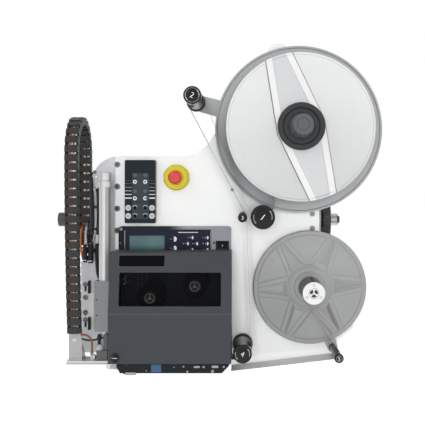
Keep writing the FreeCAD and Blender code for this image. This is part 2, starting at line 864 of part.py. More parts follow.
def rewind_reel():
    """The pressed backing-paper disc, the slit mandrel with its end cap, and the shaft."""
    centre = (rewind_x, rewind_z)
    shaft = rewind_shaft_dia / 2
    back = rewind_disc_depth
    front = mandrel_depth
    disc = turned([(shaft, back), (rewind_disc_radius - 1, back), (rewind_disc_radius, back + 1),
                   (rewind_disc_radius, front - 1), (rewind_disc_radius - 1, front), (shaft, front)],
                   *centre)
    pitch = 360 / petal_count
    cutters = [petal(petal_first_angle + pitch * step) for step in range(petal_count)]
    cutters += [sector(petal_first_angle + pitch * (step + 0.5)) for step in range(petal_count)]
    save("rewind_disc", disc.cut(fused(cutters)))
    bore = mandrel_radius - mandrel_wall
    collar = mandrel_depth + mandrel_collar_thick
    tube = turned([(shaft, front), (mandrel_collar_radius, front), (mandrel_collar_radius, collar - 1),
                   (mandrel_collar_radius - 1, collar), (mandrel_radius + 3, collar),
                   (mandrel_radius + 3, collar + 5),
                   (mandrel_radius, collar + 7), (mandrel_radius, mandrel_end), (shaft, mandrel_end),
                   (shaft, mandrel_end - 8), (bore, mandrel_end - 8), (bore, collar), (shaft, collar)],
                   *centre)
    slit_width = mandrel_slit / 2
    slit = box(rewind_x - slit_width, rewind_x + slit_width, rewind_z, rewind_z + mandrel_radius + 1,
               collar + 12, mandrel_end - 10)
    save("rewind_mandrel", tube.cut(slit))
    end = mandrel_end + end_cap_thick
    cap = turned([(0, mandrel_end), (mandrel_radius, mandrel_end), (mandrel_radius, end - 1),
                  (mandrel_radius - 1, end), (end_cap_recess_radius, end),
                  (end_cap_recess_radius, end - end_cap_recess), (0, end - end_cap_recess)], *centre)
    slots = []
    for step in range(3):
        x, z = polar(rewind_x, rewind_z, end_cap_screw_circle, 90 + 120 * step)
        slots.append(rod(end_cap_screw_dia / 2, x, z, end - 1, end))
        arm = box(rewind_x - end_cap_slot / 2, rewind_x + end_cap_slot / 2, rewind_z,
                  rewind_z + end_cap_recess_radius, mandrel_end + 0.5, end)
        arm.rotate(at(rewind_x, 0, rewind_z), FreeCAD.Vector(0, 1, 0), 60 + 120 * step)
        slots.append(arm)
    save("rewind_end_cap", cap.cut(fused(slots)))
    flange_back = rewind_disc_depth - 2
    motor_face = housing_end
    spindle = [(0, motor_face - 18), (shaft - run_fit, motor_face - 18), (shaft - run_fit, flange_back),
               (mandrel_radius, flange_back), (mandrel_radius, rewind_disc_depth),
               (shaft, rewind_disc_depth),
               (shaft, mandrel_end), (0, mandrel_end)]
    save("rewind_shaft", turned(spindle, *centre))


def bearing_housings():
    """A flanged housing behind the plate for each reel, with the sleeve that the dancer arm swings on."""
    housings = []
    for x, z, shaft in ((unwind_x, unwind_z, unwind_shaft_dia / 2),
                        (rewind_x, rewind_z, rewind_shaft_dia / 2)):
        flange = rear_face - housing_flange_thick
        profile = [(shaft, housing_end), (housing_radius, housing_end), (housing_radius, flange),
                   (housing_flange_radius, flange), (housing_flange_radius, rear_face),
                   (sleeve_radius, rear_face),
                   (sleeve_radius, sleeve_reach - gap), (shaft, sleeve_reach - gap)]
        housings.append(turned(profile, x, z))
    save("bearing_housings", group(housings))


def rewind_motor():
    """The stepping motor that drives the rewind shaft, square with cut corners, behind the housing."""
    half = motor_side / 2
    corner = motor_corner
    x, z = rewind_x, rewind_z

    def square(h, c):
        return outline((x - h + c, z - h), (x + h - c, z - h), (x + h, z - h + c), (x + h, z + h - c),
                       (x + h - c, z + h), (x - h + c, z + h), (x - h, z + h - c), (x - h, z - h + c))

    face = housing_end
    flange = face - motor_flange_thick
    back = face - motor_length
    slim = half - motor_body_inset
    waist_back = back + motor_flange_thick
    body = fused([slab(square(half, corner), flange, face), slab(square(slim, corner), waist_back, flange),
                  slab(square(half, corner), back, waist_back)])
    bore = rod(rewind_shaft_dia / 2, x, z, face - motor_bore_depth, face)
    plug_side = motor_plug_width / 2
    plug_back = back + motor_plug_inset
    plug = box(x - plug_side, x + plug_side, z + half, z + half + motor_plug_height, plug_back,
               plug_back + motor_plug_length)
    save("rewind_motor", body.fuse(plug).cut(bore))


def roller(x, z, radius, flange, length):
    """A turned roller with a rear flange and a bore that runs on its axle."""
    bore = axle_dia / 2 + run_fit
    back = roller_back
    front = back + length
    profile = [(bore, back), (flange, back), (flange, back + flange_width - 1),
               (flange - 1, back + flange_width),
               (radius, back + flange_width), (radius, front), (bore, front)]
    return turned(profile, x, z)


def axle(x, z, cap, length, start, seat):
    """A roller's axle: it stands in its plate or arm and ends in the cap that holds the roller."""
    pin = axle_dia / 2
    back = roller_back - gap
    cap_depth = roller_back + length + gap
    cap_end = cap_depth + cap_thick
    profile = [(0, start), (pin, start), (pin, seat), (axle_boss_dia / 2, seat), (axle_boss_dia / 2, back),
               (pin, back), (pin, cap_depth), (cap, cap_depth), (cap, cap_end - cap_edge),
               (cap - cap_edge, cap_end), (0, cap_end)]
    return turned(profile, x, z)


def guide_rollers():
    """The three rollers on the main plate and their axles."""
    save("guide_roller_large", roller(large_x, large_z, large_radius, large_flange, roller_length))
    save("guide_roller_small", roller(small_x, small_z, small_radius, small_flange, roller_length))
    save("guide_roller_medium", roller(medium_x, medium_z, medium_radius, medium_flange, long_roller_length))
    axles = [axle(large_x, large_z, large_cap, roller_length, rear_face, 0),
             axle(small_x, small_z, small_cap, roller_length, rear_face, 0),
             axle(medium_x, medium_z, medium_cap, long_roller_length, rear_face, 0)]
    save("roller_axles", group(axles))


def swing_arm(name, pivot, tip, widths, cap, length):
    """A dancer arm: flat link with a bored hub, and the axle and cap of the roller at its tip."""
    root_width, tip_width = widths
    wire = link_outline(pivot[0], pivot[1], root_width / 2, tip[0], tip[1], tip_width / 2)
    link = slab(wire, arm_back, arm_back + arm_thick - arm_collar_height)
    collar = rod(root_width / 2 - 1, pivot[0], pivot[1], arm_back, arm_back + arm_thick)
    bore = rod(sleeve_radius + run_fit, pivot[0], pivot[1], arm_back, arm_back + arm_thick)
    pin = axle(tip[0], tip[1], cap, length, arm_back, arm_back + 1)
    save(name, fused([link, collar, pin]).cut(bore))


def dancer_arms():
    """The unwind dancer at the top left of its reel and the rewind arm at the lower right."""
    swing_arm("dancer_arm", (unwind_x, unwind_z), (dancer_x, dancer_z),
              (dancer_root_width, dancer_tip_width),
              dancer_cap, dancer_roller_length)
    save("dancer_roller", roller(dancer_x, dancer_z, dancer_radius, dancer_flange, dancer_roller_length))
    swing_arm("rewind_arm", (rewind_x, rewind_z), (tail_x_axis, tail_z_axis),
              (tail_root_width, tail_tip_width),
              small_cap, long_roller_length)
    save("rewind_arm_roller", roller(tail_x_axis, tail_z_axis, small_radius, small_flange,
                                     long_roller_length))


def belt(circles, start, finish):
    """A thin strip that leaves one circle, runs round others in turn, and meets a last one."""
    sides = []
    for side in (1, -1):
        shift = side * web_thick / 2
        chain = [(x, z, radius - turn * shift, turn) for x, z, radius, turn in [start] + circles + [finish]]
        points = []
        for first, second in zip(chain, chain[1:]):
            points.append(tangent(first, second))
        sides.append((chain, points))
    edges = []
    ends = []
    for chain, points in sides:
        for index, (leave, meet) in enumerate(points):
            edges.append(Part.makeLine(at(leave[0], 0, leave[1]), at(meet[0], 0, meet[1])))
            if index + 1 < len(points):
                x, z, radius, turn = chain[index + 1]
                a0 = math.atan2(meet[1] - z, meet[0] - x)
                a1 = math.atan2(points[index + 1][0][1] - z, points[index + 1][0][0] - x)
                sweep = (a1 - a0) * turn % (2 * math.pi)
                middle = math.degrees(a0 + turn * sweep / 2)
                edges.append(Part.Arc(at(meet[0], 0, meet[1]),
                                      at(*insert_depth(polar(x, z, radius, middle))),
                                      at(points[index + 1][0][0], 0, points[index + 1][0][1])).toShape())
        ends.append((points[0][0], points[-1][1]))
    edges.append(Part.makeLine(at(*insert_depth(ends[0][0])), at(*insert_depth(ends[1][0]))))
    edges.append(Part.makeLine(at(*insert_depth(ends[0][1])), at(*insert_depth(ends[1][1]))))
    wire = Part.Wire(Part.sortEdges(edges)[0])
    return slab(wire, web_back, web_back + web_width)


def insert_depth(point):
    """An XZ point as X, depth 0, Z."""
    return (point[0], 0, point[1])


def control_panel():
    """The black keypad box beside the emergency stop, with button wells and recessed trimmers."""
    case = slab(rounded(panel_left, panel_right, panel_bottom, panel_top, panel_corner), 0, panel_thick)
    face = slab(rounded(face_inset_left, face_inset_right, face_inset_bottom, face_inset_top, 1.5),
                panel_thick - face_drop, panel_thick)
    wells = []
    floor = panel_thick - well_depth
    for x in button_columns:
        for z in button_rows:
            wells.append(rod(button_dia / 2 + gap, x, z, floor, panel_thick))
            wells.append(rod(button_flange_dia / 2 + gap, x, z, floor, panel_thick - well_lip))
        for z in trimmer_rows:
            wells.append(rod(trimmer_dia / 2, x, z, panel_thick - well_lip, panel_thick))
    trimmers = []
    for x in button_columns:
        for z in trimmer_rows:
            dial = rod(trimmer_dia / 2 - 1, x, z, panel_thick - 5, panel_thick - 1.5)
            trimmers.append(dial.cut(box(x - 0.5, x + 0.5, z - trimmer_dia, z + trimmer_dia,
                                         panel_thick - 2.5,
                                         panel_thick)))
    save("control_panel", case.cut(fused([face] + wells)).fuse(trimmers))


def panel_buttons():
    """Four press buttons, each a flanged cap that travels in its well."""
    number = 0
    seat = panel_thick - well_lip - gap
    back = seat - button_flange_thick
    front = panel_thick - face_drop + button_proud
    radius = button_dia / 2
    flange = button_flange_dia / 2
    for x in button_columns:
        for z in button_rows:
            number += 1
            cap = turned([(0, back), (flange, back), (flange, seat), (radius, seat), (radius, front - 0.5),
                          (radius - 0.5, front), (0, front)], x, z)
            save(f"panel_button_{number}", cap)


def emergency_stop():
    """The yellow surround with its bored collar, and the red mushroom button that is pushed in."""
    stem = estop_stem_radius + gap
    collar = estop_ring_depth + estop_collar_height
    ring = turned([(stem, 0), (estop_ring_radius, 0),
                   (estop_ring_radius, estop_ring_depth - estop_ring_taper),
                   (estop_ring_radius - estop_ring_taper, estop_ring_depth),
                   (estop_head_radius + 2, estop_ring_depth), (estop_head_radius + 1, collar),
                   (stem, collar)],
                  estop_x, estop_z)
    notches = [rod(3.0, estop_x + side * (estop_ring_radius + 1), estop_z, 0, estop_ring_depth)
               for side in (-1, 1)]
    save("estop_base", ring.cut(fused(notches)))
    head = estop_end - estop_head_thick
    button = turned([(0, 4), (estop_stem_radius, 4), (estop_stem_radius, head - 4),
                     (estop_head_radius - 3, head - 2),
                     (estop_head_radius, head + 2), (estop_head_radius, estop_end - 5),
                     (estop_head_radius - 3, estop_end - 1.5), (estop_head_radius - 7, estop_end),
                     (0, estop_end)],
                    estop_x, estop_z)
    save("estop_button", button)


def engine_bezel():
    """The engine's front frame with the opening for the print mechanism, the display and the rocker."""
    frame = slab(rounded(engine_left, engine_right, engine_bottom, engine_top, bezel_corner), 0, bezel_thick)
    wall = bezel_wall
    chamber = box(engine_left + wall, engine_right - wall, engine_bottom + wall, frame_top - frame_wall,
                  0, bezel_thick)
    display = box(display_left, display_right, display_bottom, display_top, display_seat, bezel_thick)
    rocker = box(rocker_left, rocker_right, rocker_bottom, rocker_top, 0, bezel_thick)
    bolts = [rod(bezel_screw_radius, x, z, 0, bezel_thick) for x, z in bezel_screw_places()]
    pivot = rocker_pivot(rocker_pin_radius + run_fit, rocker_pin_reach + gap)
    save("engine_bezel", frame.cut(fused([chamber, display, rocker, pivot] + bolts)))


def engine_chassis():
    """The sheet box behind the plate: bearings in front, vents at the side and sockets at the back."""
    back = -chassis_depth
    shell = box(chassis_left, chassis_right, chassis_bottom, chassis_top, back, 0)
    inside = box(chassis_left + chassis_wall, chassis_right - chassis_wall, chassis_bottom + chassis_wall,
                 chassis_top - chassis_wall, back + chassis_wall, -chassis_front_wall)
    cutters = [inside]
    middle = (back + rear_face) / 2
    first = (chassis_bottom + chassis_top) / 2 - vent_pitch * (vent_count - 1) / 2
    for step in range(vent_count):
        z = first + vent_pitch * step
        cutters.append(box(chassis_right - chassis_wall, chassis_right, z - vent_width / 2,
                           z + vent_width / 2,
                           middle - vent_length / 2, middle + vent_length / 2))
    for x, z in ((supply_x, supply_z), (takeup_x, takeup_z), (platen_x, platen_z)):
        cutters.append(rod(platen_journal + run_fit, x, z, -chassis_front_wall, 0))
    left = chassis_left + inlet_inset
    low = chassis_bottom + inlet_inset
    wall = inlet_wall
    inlet = box(left, left + inlet_width, low, low + inlet_height, back - socket_proud, back)
    recess = box(left + wall, left + inlet_width - wall, low + wall, low + inlet_height - wall,
                 back - socket_proud, back - 1)
    sockets = [inlet.cut(recess)]
    for step in range(socket_count):
        x = chassis_right - inlet_inset - socket_width - socket_pitch * step
        sockets.append(box(x, x + socket_width, low, low + socket_height, back - socket_proud, back))
    rocker_well = box(rocker_left, rocker_right, rocker_bottom, rocker_top, -chassis_front_wall, 0)
    save("engine_chassis", shell.cut(fused(cutters + [rocker_well])).fuse(sockets))


def key_places():
    """The display's keys: a cross, two beside the screen and a column at the right."""
    rows = (key_middle_z + key_row_pitch, key_middle_z, key_middle_z - key_row_pitch)
    cross = [(cross_x, rows[0]), (cross_x - cross_reach, rows[1]), (cross_x + cross_reach, rows[1]),
             (cross_x, rows[2])]
    pair = [(lcd_right + key_pair_gap, key_middle_z + side * key_pair_reach) for side in (-1, 1)]
    return cross + pair + [(display_right - key_column_inset, z) for z in rows]


def display_module():
    """The operator display: screen recess, membrane domes and a thin bar over the keys."""
    face = display_seat + display_thick
    body = slab(rounded(display_left, display_right, display_bottom, display_top, 2.0), display_seat, face)
    screen = box(lcd_left, lcd_right, lcd_bottom, lcd_top, face - lcd_recess, face)
    keys = []
    for x, z in key_places():
        keys.append(turned([(0, face - 1), (key_dia / 2, face - 1), (key_dia / 2, face + key_height / 2),
                            (key_dia / 2 - 1, face + key_height), (0, face + key_height)], x, z))
    bar = box(cross_x - strip_length / 2, cross_x + strip_length / 2,
              display_top - strip_drop - strip_height,
              display_top - strip_drop, face - 1, face + key_height / 2)
    save("display_module", body.cut(screen).fuse(keys + [bar]))


def power_rocker():
    """The power switch: a rocker with two sloping faces, turning on a pivot across its middle."""
    middle_z = (rocker_top + rocker_bottom) / 2
    half = (rocker_top - rocker_bottom) / 2 - 1.5
    face = bezel_thick
    body = profile_along_x([(face - 10, middle_z - half + 3), (face + rocker_proud, middle_z - half),
                            (face, middle_z), (face + rocker_proud, middle_z + half),
                            (face - 10, middle_z + half - 3)], rocker_left + rocker_side_gap,
                           rocker_right - rocker_side_gap)
    save("power_rocker", body.fuse(rocker_pivot(rocker_pin_radius, rocker_pin_reach)))


def rocker_pivot(radius, reach):
    """The rocker's pivot pin, or with a larger radius its bore, reaching into the bezel at both sides."""
    start = at(rocker_left - reach, rocker_pivot_depth, (rocker_top + rocker_bottom) / 2)
    return Part.makeCylinder(radius, rocker_right - rocker_left + 2 * reach, start, FreeCAD.Vector(1, 0, 0))


def engine_base():
    """The frame round the mechanism, the chin below it and the two ears that hold the lid's hinge pins."""
    left = engine_left + frame_inset
    right = chin_right
    low = chin_top - chin_height / 2
    ring = box(left, right, low, frame_top, bezel_thick, frame_depth)
    ring = ring.cut(box(left + frame_wall, right - frame_wall, low, frame_top - frame_wall, bezel_thick,
                        frame_depth))
    chin = slab(outline((chin_left, engine_bottom), (chin_right - chin_chamfer, engine_bottom),
                        (chin_right, engine_bottom + chin_chamfer), (chin_right, chin_top),
                        (chin_left, chin_top)),
                bezel_thick, chin_depth)
    cheek = box(platen_x - 14, chin_left, engine_bottom, chin_top, chin_depth - cheek_thick, chin_depth)
    journal = rod(platen_journal + run_fit, platen_x, platen_z, chin_depth - cheek_thick, chin_depth)
    parts = [ring, chin, cheek.cut(journal)]
    for x0, inward in ((left, 1), (right - ear_thick, -1)):
        near = hinge_depth + knuckle_radius
        far = hinge_depth - knuckle_radius
        ear = profile_along_x([(frame_depth - 4, frame_top - 16), (frame_depth, frame_top - 16),
                               (near, hinge_z - 2), (near - 2, hinge_z + 4), (far + 2, hinge_z + 4),
                               (far, hinge_z - 2), (frame_depth - 4, frame_top)], x0, x0 + ear_thick)
        root = x0 + ear_thick if inward > 0 else x0
        pin = Part.makeCylinder(hinge_pin_dia / 2, knuckle_length - 4, at(root, hinge_depth, hinge_z),
                                FreeCAD.Vector(inward, 0, 0))
        parts += [ear, pin]
    save("engine_base", fused(parts))


def lid_face(z):
    """Depth of the lid's outer face at a height."""
    return lid_depth - lid_slope * max(0.0, z - lid_crease)


def facet(x0, x1, z0, z1, outer, inner):
    """A sheet parallel to the lid's sloping face, between two distances behind it."""
    return profile_along_x([(lid_face(z0) - outer, z0), (lid_face(z1) - outer, z1),
                            (lid_face(z1) - inner, z1),
                            (lid_face(z0) - inner, z0)], x0, x1)


def lid():
    """The engine's folded cover: sloping upper face with a window, upright lower face, top and sides."""
    outer = profile_along_x([(lid_back, lid_bottom), (lid_depth, lid_bottom), (lid_depth, lid_crease),
                             (lid_top_depth, lid_top), (lid_back, lid_top)], lid_left, lid_right)
    upright = [edge for edge in outer.Edges
               if edge.BoundBox.XLength < 0.01 and edge.BoundBox.YMax < plate_face_y - lid_top_depth + 0.1
               and edge.BoundBox.ZLength > 2 * lid_edge_radius]
    outer = outer.makeFillet(lid_edge_radius, upright)
    wall = lid_wall
    inner = profile_along_x([(lid_back - 1, lid_bottom - 1), (lid_depth - wall, lid_bottom - 1),
                             (lid_depth - wall, lid_crease), (lid_top_depth - wall, lid_top - wall),
                             (lid_back - 1, lid_top - wall)], lid_left + wall, lid_right - wall)
    cover = outer.cut(inner)
    knuckles = []
    bores = []
    left_face = engine_left + frame_inset + ear_thick + gap
    right_face = chin_right - ear_thick - gap - knuckle_length
    for x in (left_face, right_face):
        start = at(x, hinge_depth, hinge_z)
        along = FreeCAD.Vector(1, 0, 0)
        knuckles.append(Part.makeCylinder(knuckle_radius, knuckle_length, start, along))
        knuckles.append(box(x, x + knuckle_length, hinge_z, lid_top - 1, hinge_depth - 3, hinge_depth + 3))
        bores.append(Part.makeCylinder(hinge_pin_dia / 2 + run_fit, knuckle_length, start, along))
    window = facet(window_left, window_right, window_bottom, window_top, -2, wall + 3)
    mark = facet(plate_mark_left, plate_mark_right, plate_mark_bottom, plate_mark_top, -1, plate_mark_drop)
    stem = rod(latch_stem_dia / 2 + run_fit, latch_x, latch_z, lid_depth - wall - 1, lid_depth + 1)
    notches = [box(x - 2 * gap, x + ear_thick + 2 * gap, lid_top - wall, lid_top, lid_back, hinge_depth - 2)
               for x in (engine_left + frame_inset, chin_right - ear_thick)]
    save("lid", cover.fuse(knuckles).cut(fused(bores + notches + [window, mark, stem])))
    save("lid_window", facet(window_left, window_right, window_bottom, window_top, 0.5, 0.5 + window_thick))
    back = lid_depth - wall - gap
    front = lid_depth + gap
    knob = turned([(0, back - 3), (latch_stem_dia / 2, back - 3), (latch_stem_dia / 2, front),
                   (latch_radius, front),
                   (latch_radius, front + latch_proud - 1), (latch_radius - 1, front + latch_proud),
                   (0, front + latch_proud)], latch_x, latch_z)
    slot = box(latch_x - 6, latch_x + 6, latch_z - 0.8, latch_z + 0.8,
               front + latch_proud - 1.5, front + latch_proud)
    cam = box(latch_x - 4, latch_x + 12, latch_z - 4, latch_z + 4, back - 3, back)
    save("lid_latch", knob.cut(slot).fuse(cam))


def ribbon_spindle(name, x, z, disc_radius):
    """A ribbon spindle: journal in the chassis, backing disc and a finned hub."""
    start = -chassis_front_wall
    profile = [(0, start), (platen_journal, start), (platen_journal, ribbon_disc_depth - 4),
               (disc_radius * 0.45, ribbon_disc_depth - 3), (disc_radius, ribbon_disc_depth - 3),
               (disc_radius, ribbon_disc_depth), (ribbon_hub_radius, ribbon_disc_depth),
               (ribbon_hub_radius - 0.5, ribbon_hub_end - 4), (ribbon_hub_radius - 4, ribbon_hub_end),
               (0, ribbon_hub_end)]
    fins = []
    for step in range(ribbon_fins):
        fin = box(x - 1.5, x + 1.5, z, z + ribbon_hub_radius + 2.5, ribbon_disc_depth, ribbon_hub_end - 12)
        fin.rotate(at(x, 0, z), FreeCAD.Vector(0, 1, 0), 360 * step / ribbon_fins)
        fins.append(fin)
    save(name, turned(profile, x, z).fuse(fins))


def print_station():
    """Printhead, platen roller and peel plate at the lower left of the engine."""
    low = platen_z + platen_radius + gap
    x0 = platen_x - head_width / 2
    x1 = platen_x + head_width / 2
    head = slab(outline((platen_x - 2, low), (platen_x + 2, low), (x1, low + head_nose),
                        (x1, low + head_height),
                        (x0, low + head_height), (x0, low + head_nose)), 0, chin_depth - cheek_thick - 2)
    save("printhead", head)
    end = chin_depth - cheek_thick - gap
    journal = platen_journal
    save("platen_roller", turned([(0, -chassis_front_wall), (journal, -chassis_front_wall), (journal, gap),
                                  (platen_radius, gap + 2), (platen_radius, end), (journal, end),
                                  (journal, chin_depth), (0, chin_depth)], platen_x, platen_z))
    left = platen_x - platen_radius
    top = platen_z + 6
    peel = slab(outline((left - 5, top), (left - 5 + peel_thick, top),
                        (left + peel_thick, engine_bottom + 3),
                        (platen_x + 4, engine_bottom + 1.2), (platen_x + 4, engine_bottom),
                        (left - 1, engine_bottom)), bezel_thick, chin_depth - cheek_thick)
    front = chin_depth - cheek_thick
    tongue = slab(outline((tongue_left, platen_z - tongue_height / 2), (tongue_left + 3, platen_z),
                          (left - 4, platen_z), (left - 1, platen_z - tongue_height),
                          (tongue_left + 6, platen_z - tongue_height)), front - tongue_thick, front)
    save("peel_plate", peel.fuse(tongue))


def applicator():
    """Air cylinder, guide block, moving rods and the foot bar of the tamp applicator."""
    tube = post(tube_radius, tube_x, tube_depth, tube_bottom, tube_top)
    tube = tube.cut(post(tube_bore, tube_x, tube_depth, tube_bottom, tube_top))
    save("air_cylinder", tube)
    head = post(tube_cap_radius, tube_x, tube_depth, tube_top, tube_top + tube_cap_height)
    clamp = post(clamp_ring_radius, tube_x, tube_depth, clamp_ring_z, clamp_ring_z + clamp_ring_height)
    clamp = clamp.fuse(box(tube_x - 8, tube_x + 8, clamp_ring_z, clamp_ring_z + clamp_ring_height, 0,
                           tube_depth))
    clamp = clamp.cut(post(tube_radius, tube_x, tube_depth, clamp_ring_z, clamp_ring_z + clamp_ring_height))
    port = Part.makeCylinder(4, 12,
                             at(tube_x - tube_cap_radius - 6, tube_depth, tube_top + tube_cap_height / 2),
                             FreeCAD.Vector(1, 0, 0))
    save("cylinder_cap", group([head.fuse(port), clamp]))
    rods_x = (guide_rod_left, guide_rod_right)
    block = slab(rounded(block_left, block_right, block_bottom, tube_bottom, 2.0), 0, block_depth)
    bores = [post(rod_dia / 2 + run_fit, tube_x, tube_depth, block_bottom, tube_bottom)]
    bores += [post(guide_rod_dia / 2 + run_fit, x, guide_rod_depth, block_bottom,
                   tube_bottom) for x in rods_x]
    for step in range(2):
        bores.append(rod(block_hole_dia / 2, block_left + block_hole_inset,
                         block_hole_z - block_hole_pitch * step,
                         block_depth - block_hole_drop, block_depth))
    save("guide_block", block.cut(fused(bores)))
    piston_bottom = piston_top - piston_thick
    moving = [post(tube_bore - run_fit, tube_x, tube_depth, piston_bottom, piston_top).fuse(
        post(rod_dia / 2, tube_x, tube_depth, foot_top, piston_bottom))]
    guide_top = tube_bottom + tamp_stroke + 10
    moving += [post(guide_rod_dia / 2, x, guide_rod_depth, foot_top, guide_top) for x in rods_x]
    save("applicator_rods", group(moving))
    bar = box(foot_left, foot_right, foot_bottom, foot_top, foot_back, foot_front)
    holes = [post(pad_hole_dia / 2, pad_hole_x, pad_hole_depth(side), foot_bottom, foot_top)
             for side in (-1, 1)]
    left = chain_x - chain_width / 2
    seat = chain_start_depth - chain_height / 2
    back = seat - bracket_thick
    upright = box(left, left + chain_width, foot_top, chain_start_z + bracket_lap, back, seat)
    gusset = profile_along_x([(foot_back, foot_top), (back, foot_top), (back, foot_top + gusset_height)],
                             left + chain_width - bracket_thick, left + chain_width)
    save("foot_bar", bar.cut(fused(holes)).fuse([upright, gusset]))


def pad_hole_depth(side):
    """Depth of a tamp pad hole, either side of the foot bar's middle."""
    return (foot_back + foot_front) / 2 + side * pad_hole_spacing / 2


def sensors():
    """The slotted bracket beside the guide block and the two end-of-stroke sensors on it."""
    bracket = slab(rounded(sensor_left, sensor_right, sensor_bottom, sensor_top, sensor_thick), 0,
                   sensor_thick)
    places = sensor_screw_places()
    clear = sensor_screw_radius + gap
    cutters = [rod(clear, x, z, 0, sensor_thick) for x, z in places]
    for x, z in (places[0], places[-1]):
        cutters.append(box(x - clear, x + clear, z - sensor_slot_length, z, 0, sensor_thick))
    save("sensor_bracket", bracket.cut(fused(cutters)))
    bodies = []
    for low in (sensor_top - sensor_bar_length, sensor_bottom):
        bodies.append(slab(rounded(sensor_bar_left, sensor_bar_left + sensor_bar_width, low,
                                   low + sensor_bar_length,
                                   1.5), sensor_thick, sensor_thick + sensor_bar_proud))
    save("end_sensors", group(bodies))


def link(depth, z, lean):
    """One carrier link: two side plates and two cross bars, centred on a point of the path."""
    half = chain_pitch / 2 - link_play / 2
    wide = chain_width / 2
    tall = chain_height / 2
    wall = chain_wall
    body = Part.makeBox(chain_width, chain_height, 2 * half, FreeCAD.Vector(-wide, -tall, -half))
    tunnel = Part.makeBox(chain_width - 2 * wall, chain_height - 2 * wall, 2 * half,
                          FreeCAD.Vector(-wide + wall, -tall + wall, -half))
    windows = Part.makeBox(chain_width - 2 * wall, chain_height, chain_slot,
                           FreeCAD.Vector(-wide + wall, -tall, -half))
    body = body.cut(tunnel).cut(windows)
    body.rotate(FreeCAD.Vector(0, 0, 0), FreeCAD.Vector(1, 0, 0), lean)
    body.translate(at(chain_x, depth, z))
    return body


def chain_joiner(depth, z, lean):
    """The pivot between two links: a pin through both sides that keeps them together."""
    left = -chain_width / 2 + 0.5
    half = joiner_side / 2
    pin = Part.makeCylinder(joiner_pin_radius, -2 * left, FreeCAD.Vector(left, 0, 0),
                            FreeCAD.Vector(1, 0, 0))
    tabs = [Part.makeBox(chain_wall, joiner_side, joiner_side, FreeCAD.Vector(x, -half, -half))
            for x in (left, -left - chain_wall)]
    piece = fused([pin] + tabs)
    piece.rotate(FreeCAD.Vector(0, 0, 0), FreeCAD.Vector(1, 0, 0), lean)
    piece.translate(at(chain_x, depth, z))
    return piece


def front_run_point(fraction):
    """A point and lean of the bowed front run, from the foot bracket (0) to the loop (1)."""
    rise = chain_loop_z - loop_clearance - chain_start_z
    out = chain_loop_depth + chain_loop_radius - chain_start_depth
    radius = (rise ** 2 + out ** 2) / (2 * out)
    height = rise * (1 - fraction)
    turn = math.asin(height / radius)
    depth = chain_loop_depth + chain_loop_radius - radius * (1 - math.cos(turn))
    return depth, chain_loop_z - loop_clearance - height, math.degrees(turn)


def cable_carrier():
    """The carrier in three stretches: bowed front run, half-round loop and straight rear run."""
    rise = chain_loop_z - loop_clearance - chain_start_z
    count = int(rise / (chain_pitch - link_play))
    run = []
    for step in range(count):
        depth, z, lean = front_run_point((step + 0.5) / count)
        run.append(link(depth, z, lean))
        if step:
            depth, z, lean = front_run_point(step / count)
            run.append(chain_joiner(depth, z, lean))
    save("chain_front_run", fused(run))
    arc_count = round(math.pi * chain_loop_radius / chain_pitch)
    loop = []
    for step in range(arc_count):
        for place, maker in ((step + 0.5, link), (step, chain_joiner)):
            angle = 180 * place / arc_count
            depth = chain_loop_depth + chain_loop_radius * math.cos(math.radians(angle))
            z = chain_loop_z + chain_loop_radius * math.sin(math.radians(angle))
            if place:
                loop.append(maker(depth, z, -angle))
    save("chain_loop", fused(loop))
    rear = []
    top = chain_loop_z - loop_clearance
    fall = top - chain_end_z
    count = int(fall / (chain_pitch - link_play))
    for step in range(count):
        rear.append(link(chain_loop_depth - chain_loop_radius, top - fall * (step + 0.5) / count, 0))
        if step:
            rear.append(chain_joiner(chain_loop_depth - chain_loop_radius, top - fall * step / count, 0))
    save("chain_rear_run", fused(rear))
    depth = chain_loop_depth - chain_loop_radius
    left = chain_x - chain_width / 2
    seat = depth - chain_height / 2
    right = sub_left + anchor_foot
    low = chain_end_z - anchor_height
    plate = box(left, right, low, chain_end_z, seat - bracket_thick, seat)
    foot = box(sub_left + 1, right, low, chain_end_z, seat, rear_face)
    shelf = box(left, left + chain_width, chain_end_z - 2 * bracket_thick, chain_end_z, seat,
                depth + chain_height / 2)
    save("chain_anchor", fused([plate, foot, shelf]))


def webs():
    """The label web from the reel to the engine and the backing web from the engine to the rewind reel."""
    lift = web_lift + web_thick / 2
    label = belt([(large_x, large_z, large_radius + lift, -1),
                  (dancer_x, dancer_z, dancer_radius + lift, 1),
                  (small_x, small_z, small_radius + lift, -1),
                  (medium_x, medium_z, medium_radius + lift, -1)],
                 (unwind_x, unwind_z, core_radius + lift, 1),
                 (engine_right + 1, chin_top + 2, slit_radius, 1))
    save("label_web", label)
    backing = belt([(tail_x_axis, tail_z_axis, small_radius + lift, 1)],
                   (engine_right + 1, engine_bottom + 4, slit_radius, 1),
                   (rewind_x, rewind_z, mandrel_radius + lift, -1))
    save("backing_web", backing)


main_plate()
applicator_plate()
fixing_screws()
support_bar()
bar_blocks()
handwheel()
unwind_reel()
rewind_reel()
bearing_housings()
rewind_motor()
guide_rollers()
dancer_arms()
control_panel()
panel_buttons()
emergency_stop()
engine_bezel()
engine_chassis()
display_module()
power_rocker()
engine_base()
lid()
ribbon_spindle("ribbon_supply_spindle", supply_x, supply_z, supply_disc_radius)
ribbon_spindle("ribbon_takeup_spindle", takeup_x, takeup_z, takeup_disc_radius)
print_station()
applicator()
sensors()
cable_carrier()
webs()
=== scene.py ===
# %% [markdown]
# # An automatic labeler, dressed for the camera
# The construction is already made: plates, reels, rollers, a print engine, an applicator. Here every
# surface gets its finish, and the forms that a plain solid only hints at are worked out as arrays of
# points: a pressed disc, a frosted reel flange, chain links, paper, cables, keys and figures.
# The frame comes first, because each new piece rides on one of its bodies.

# %% Load the frame
import math

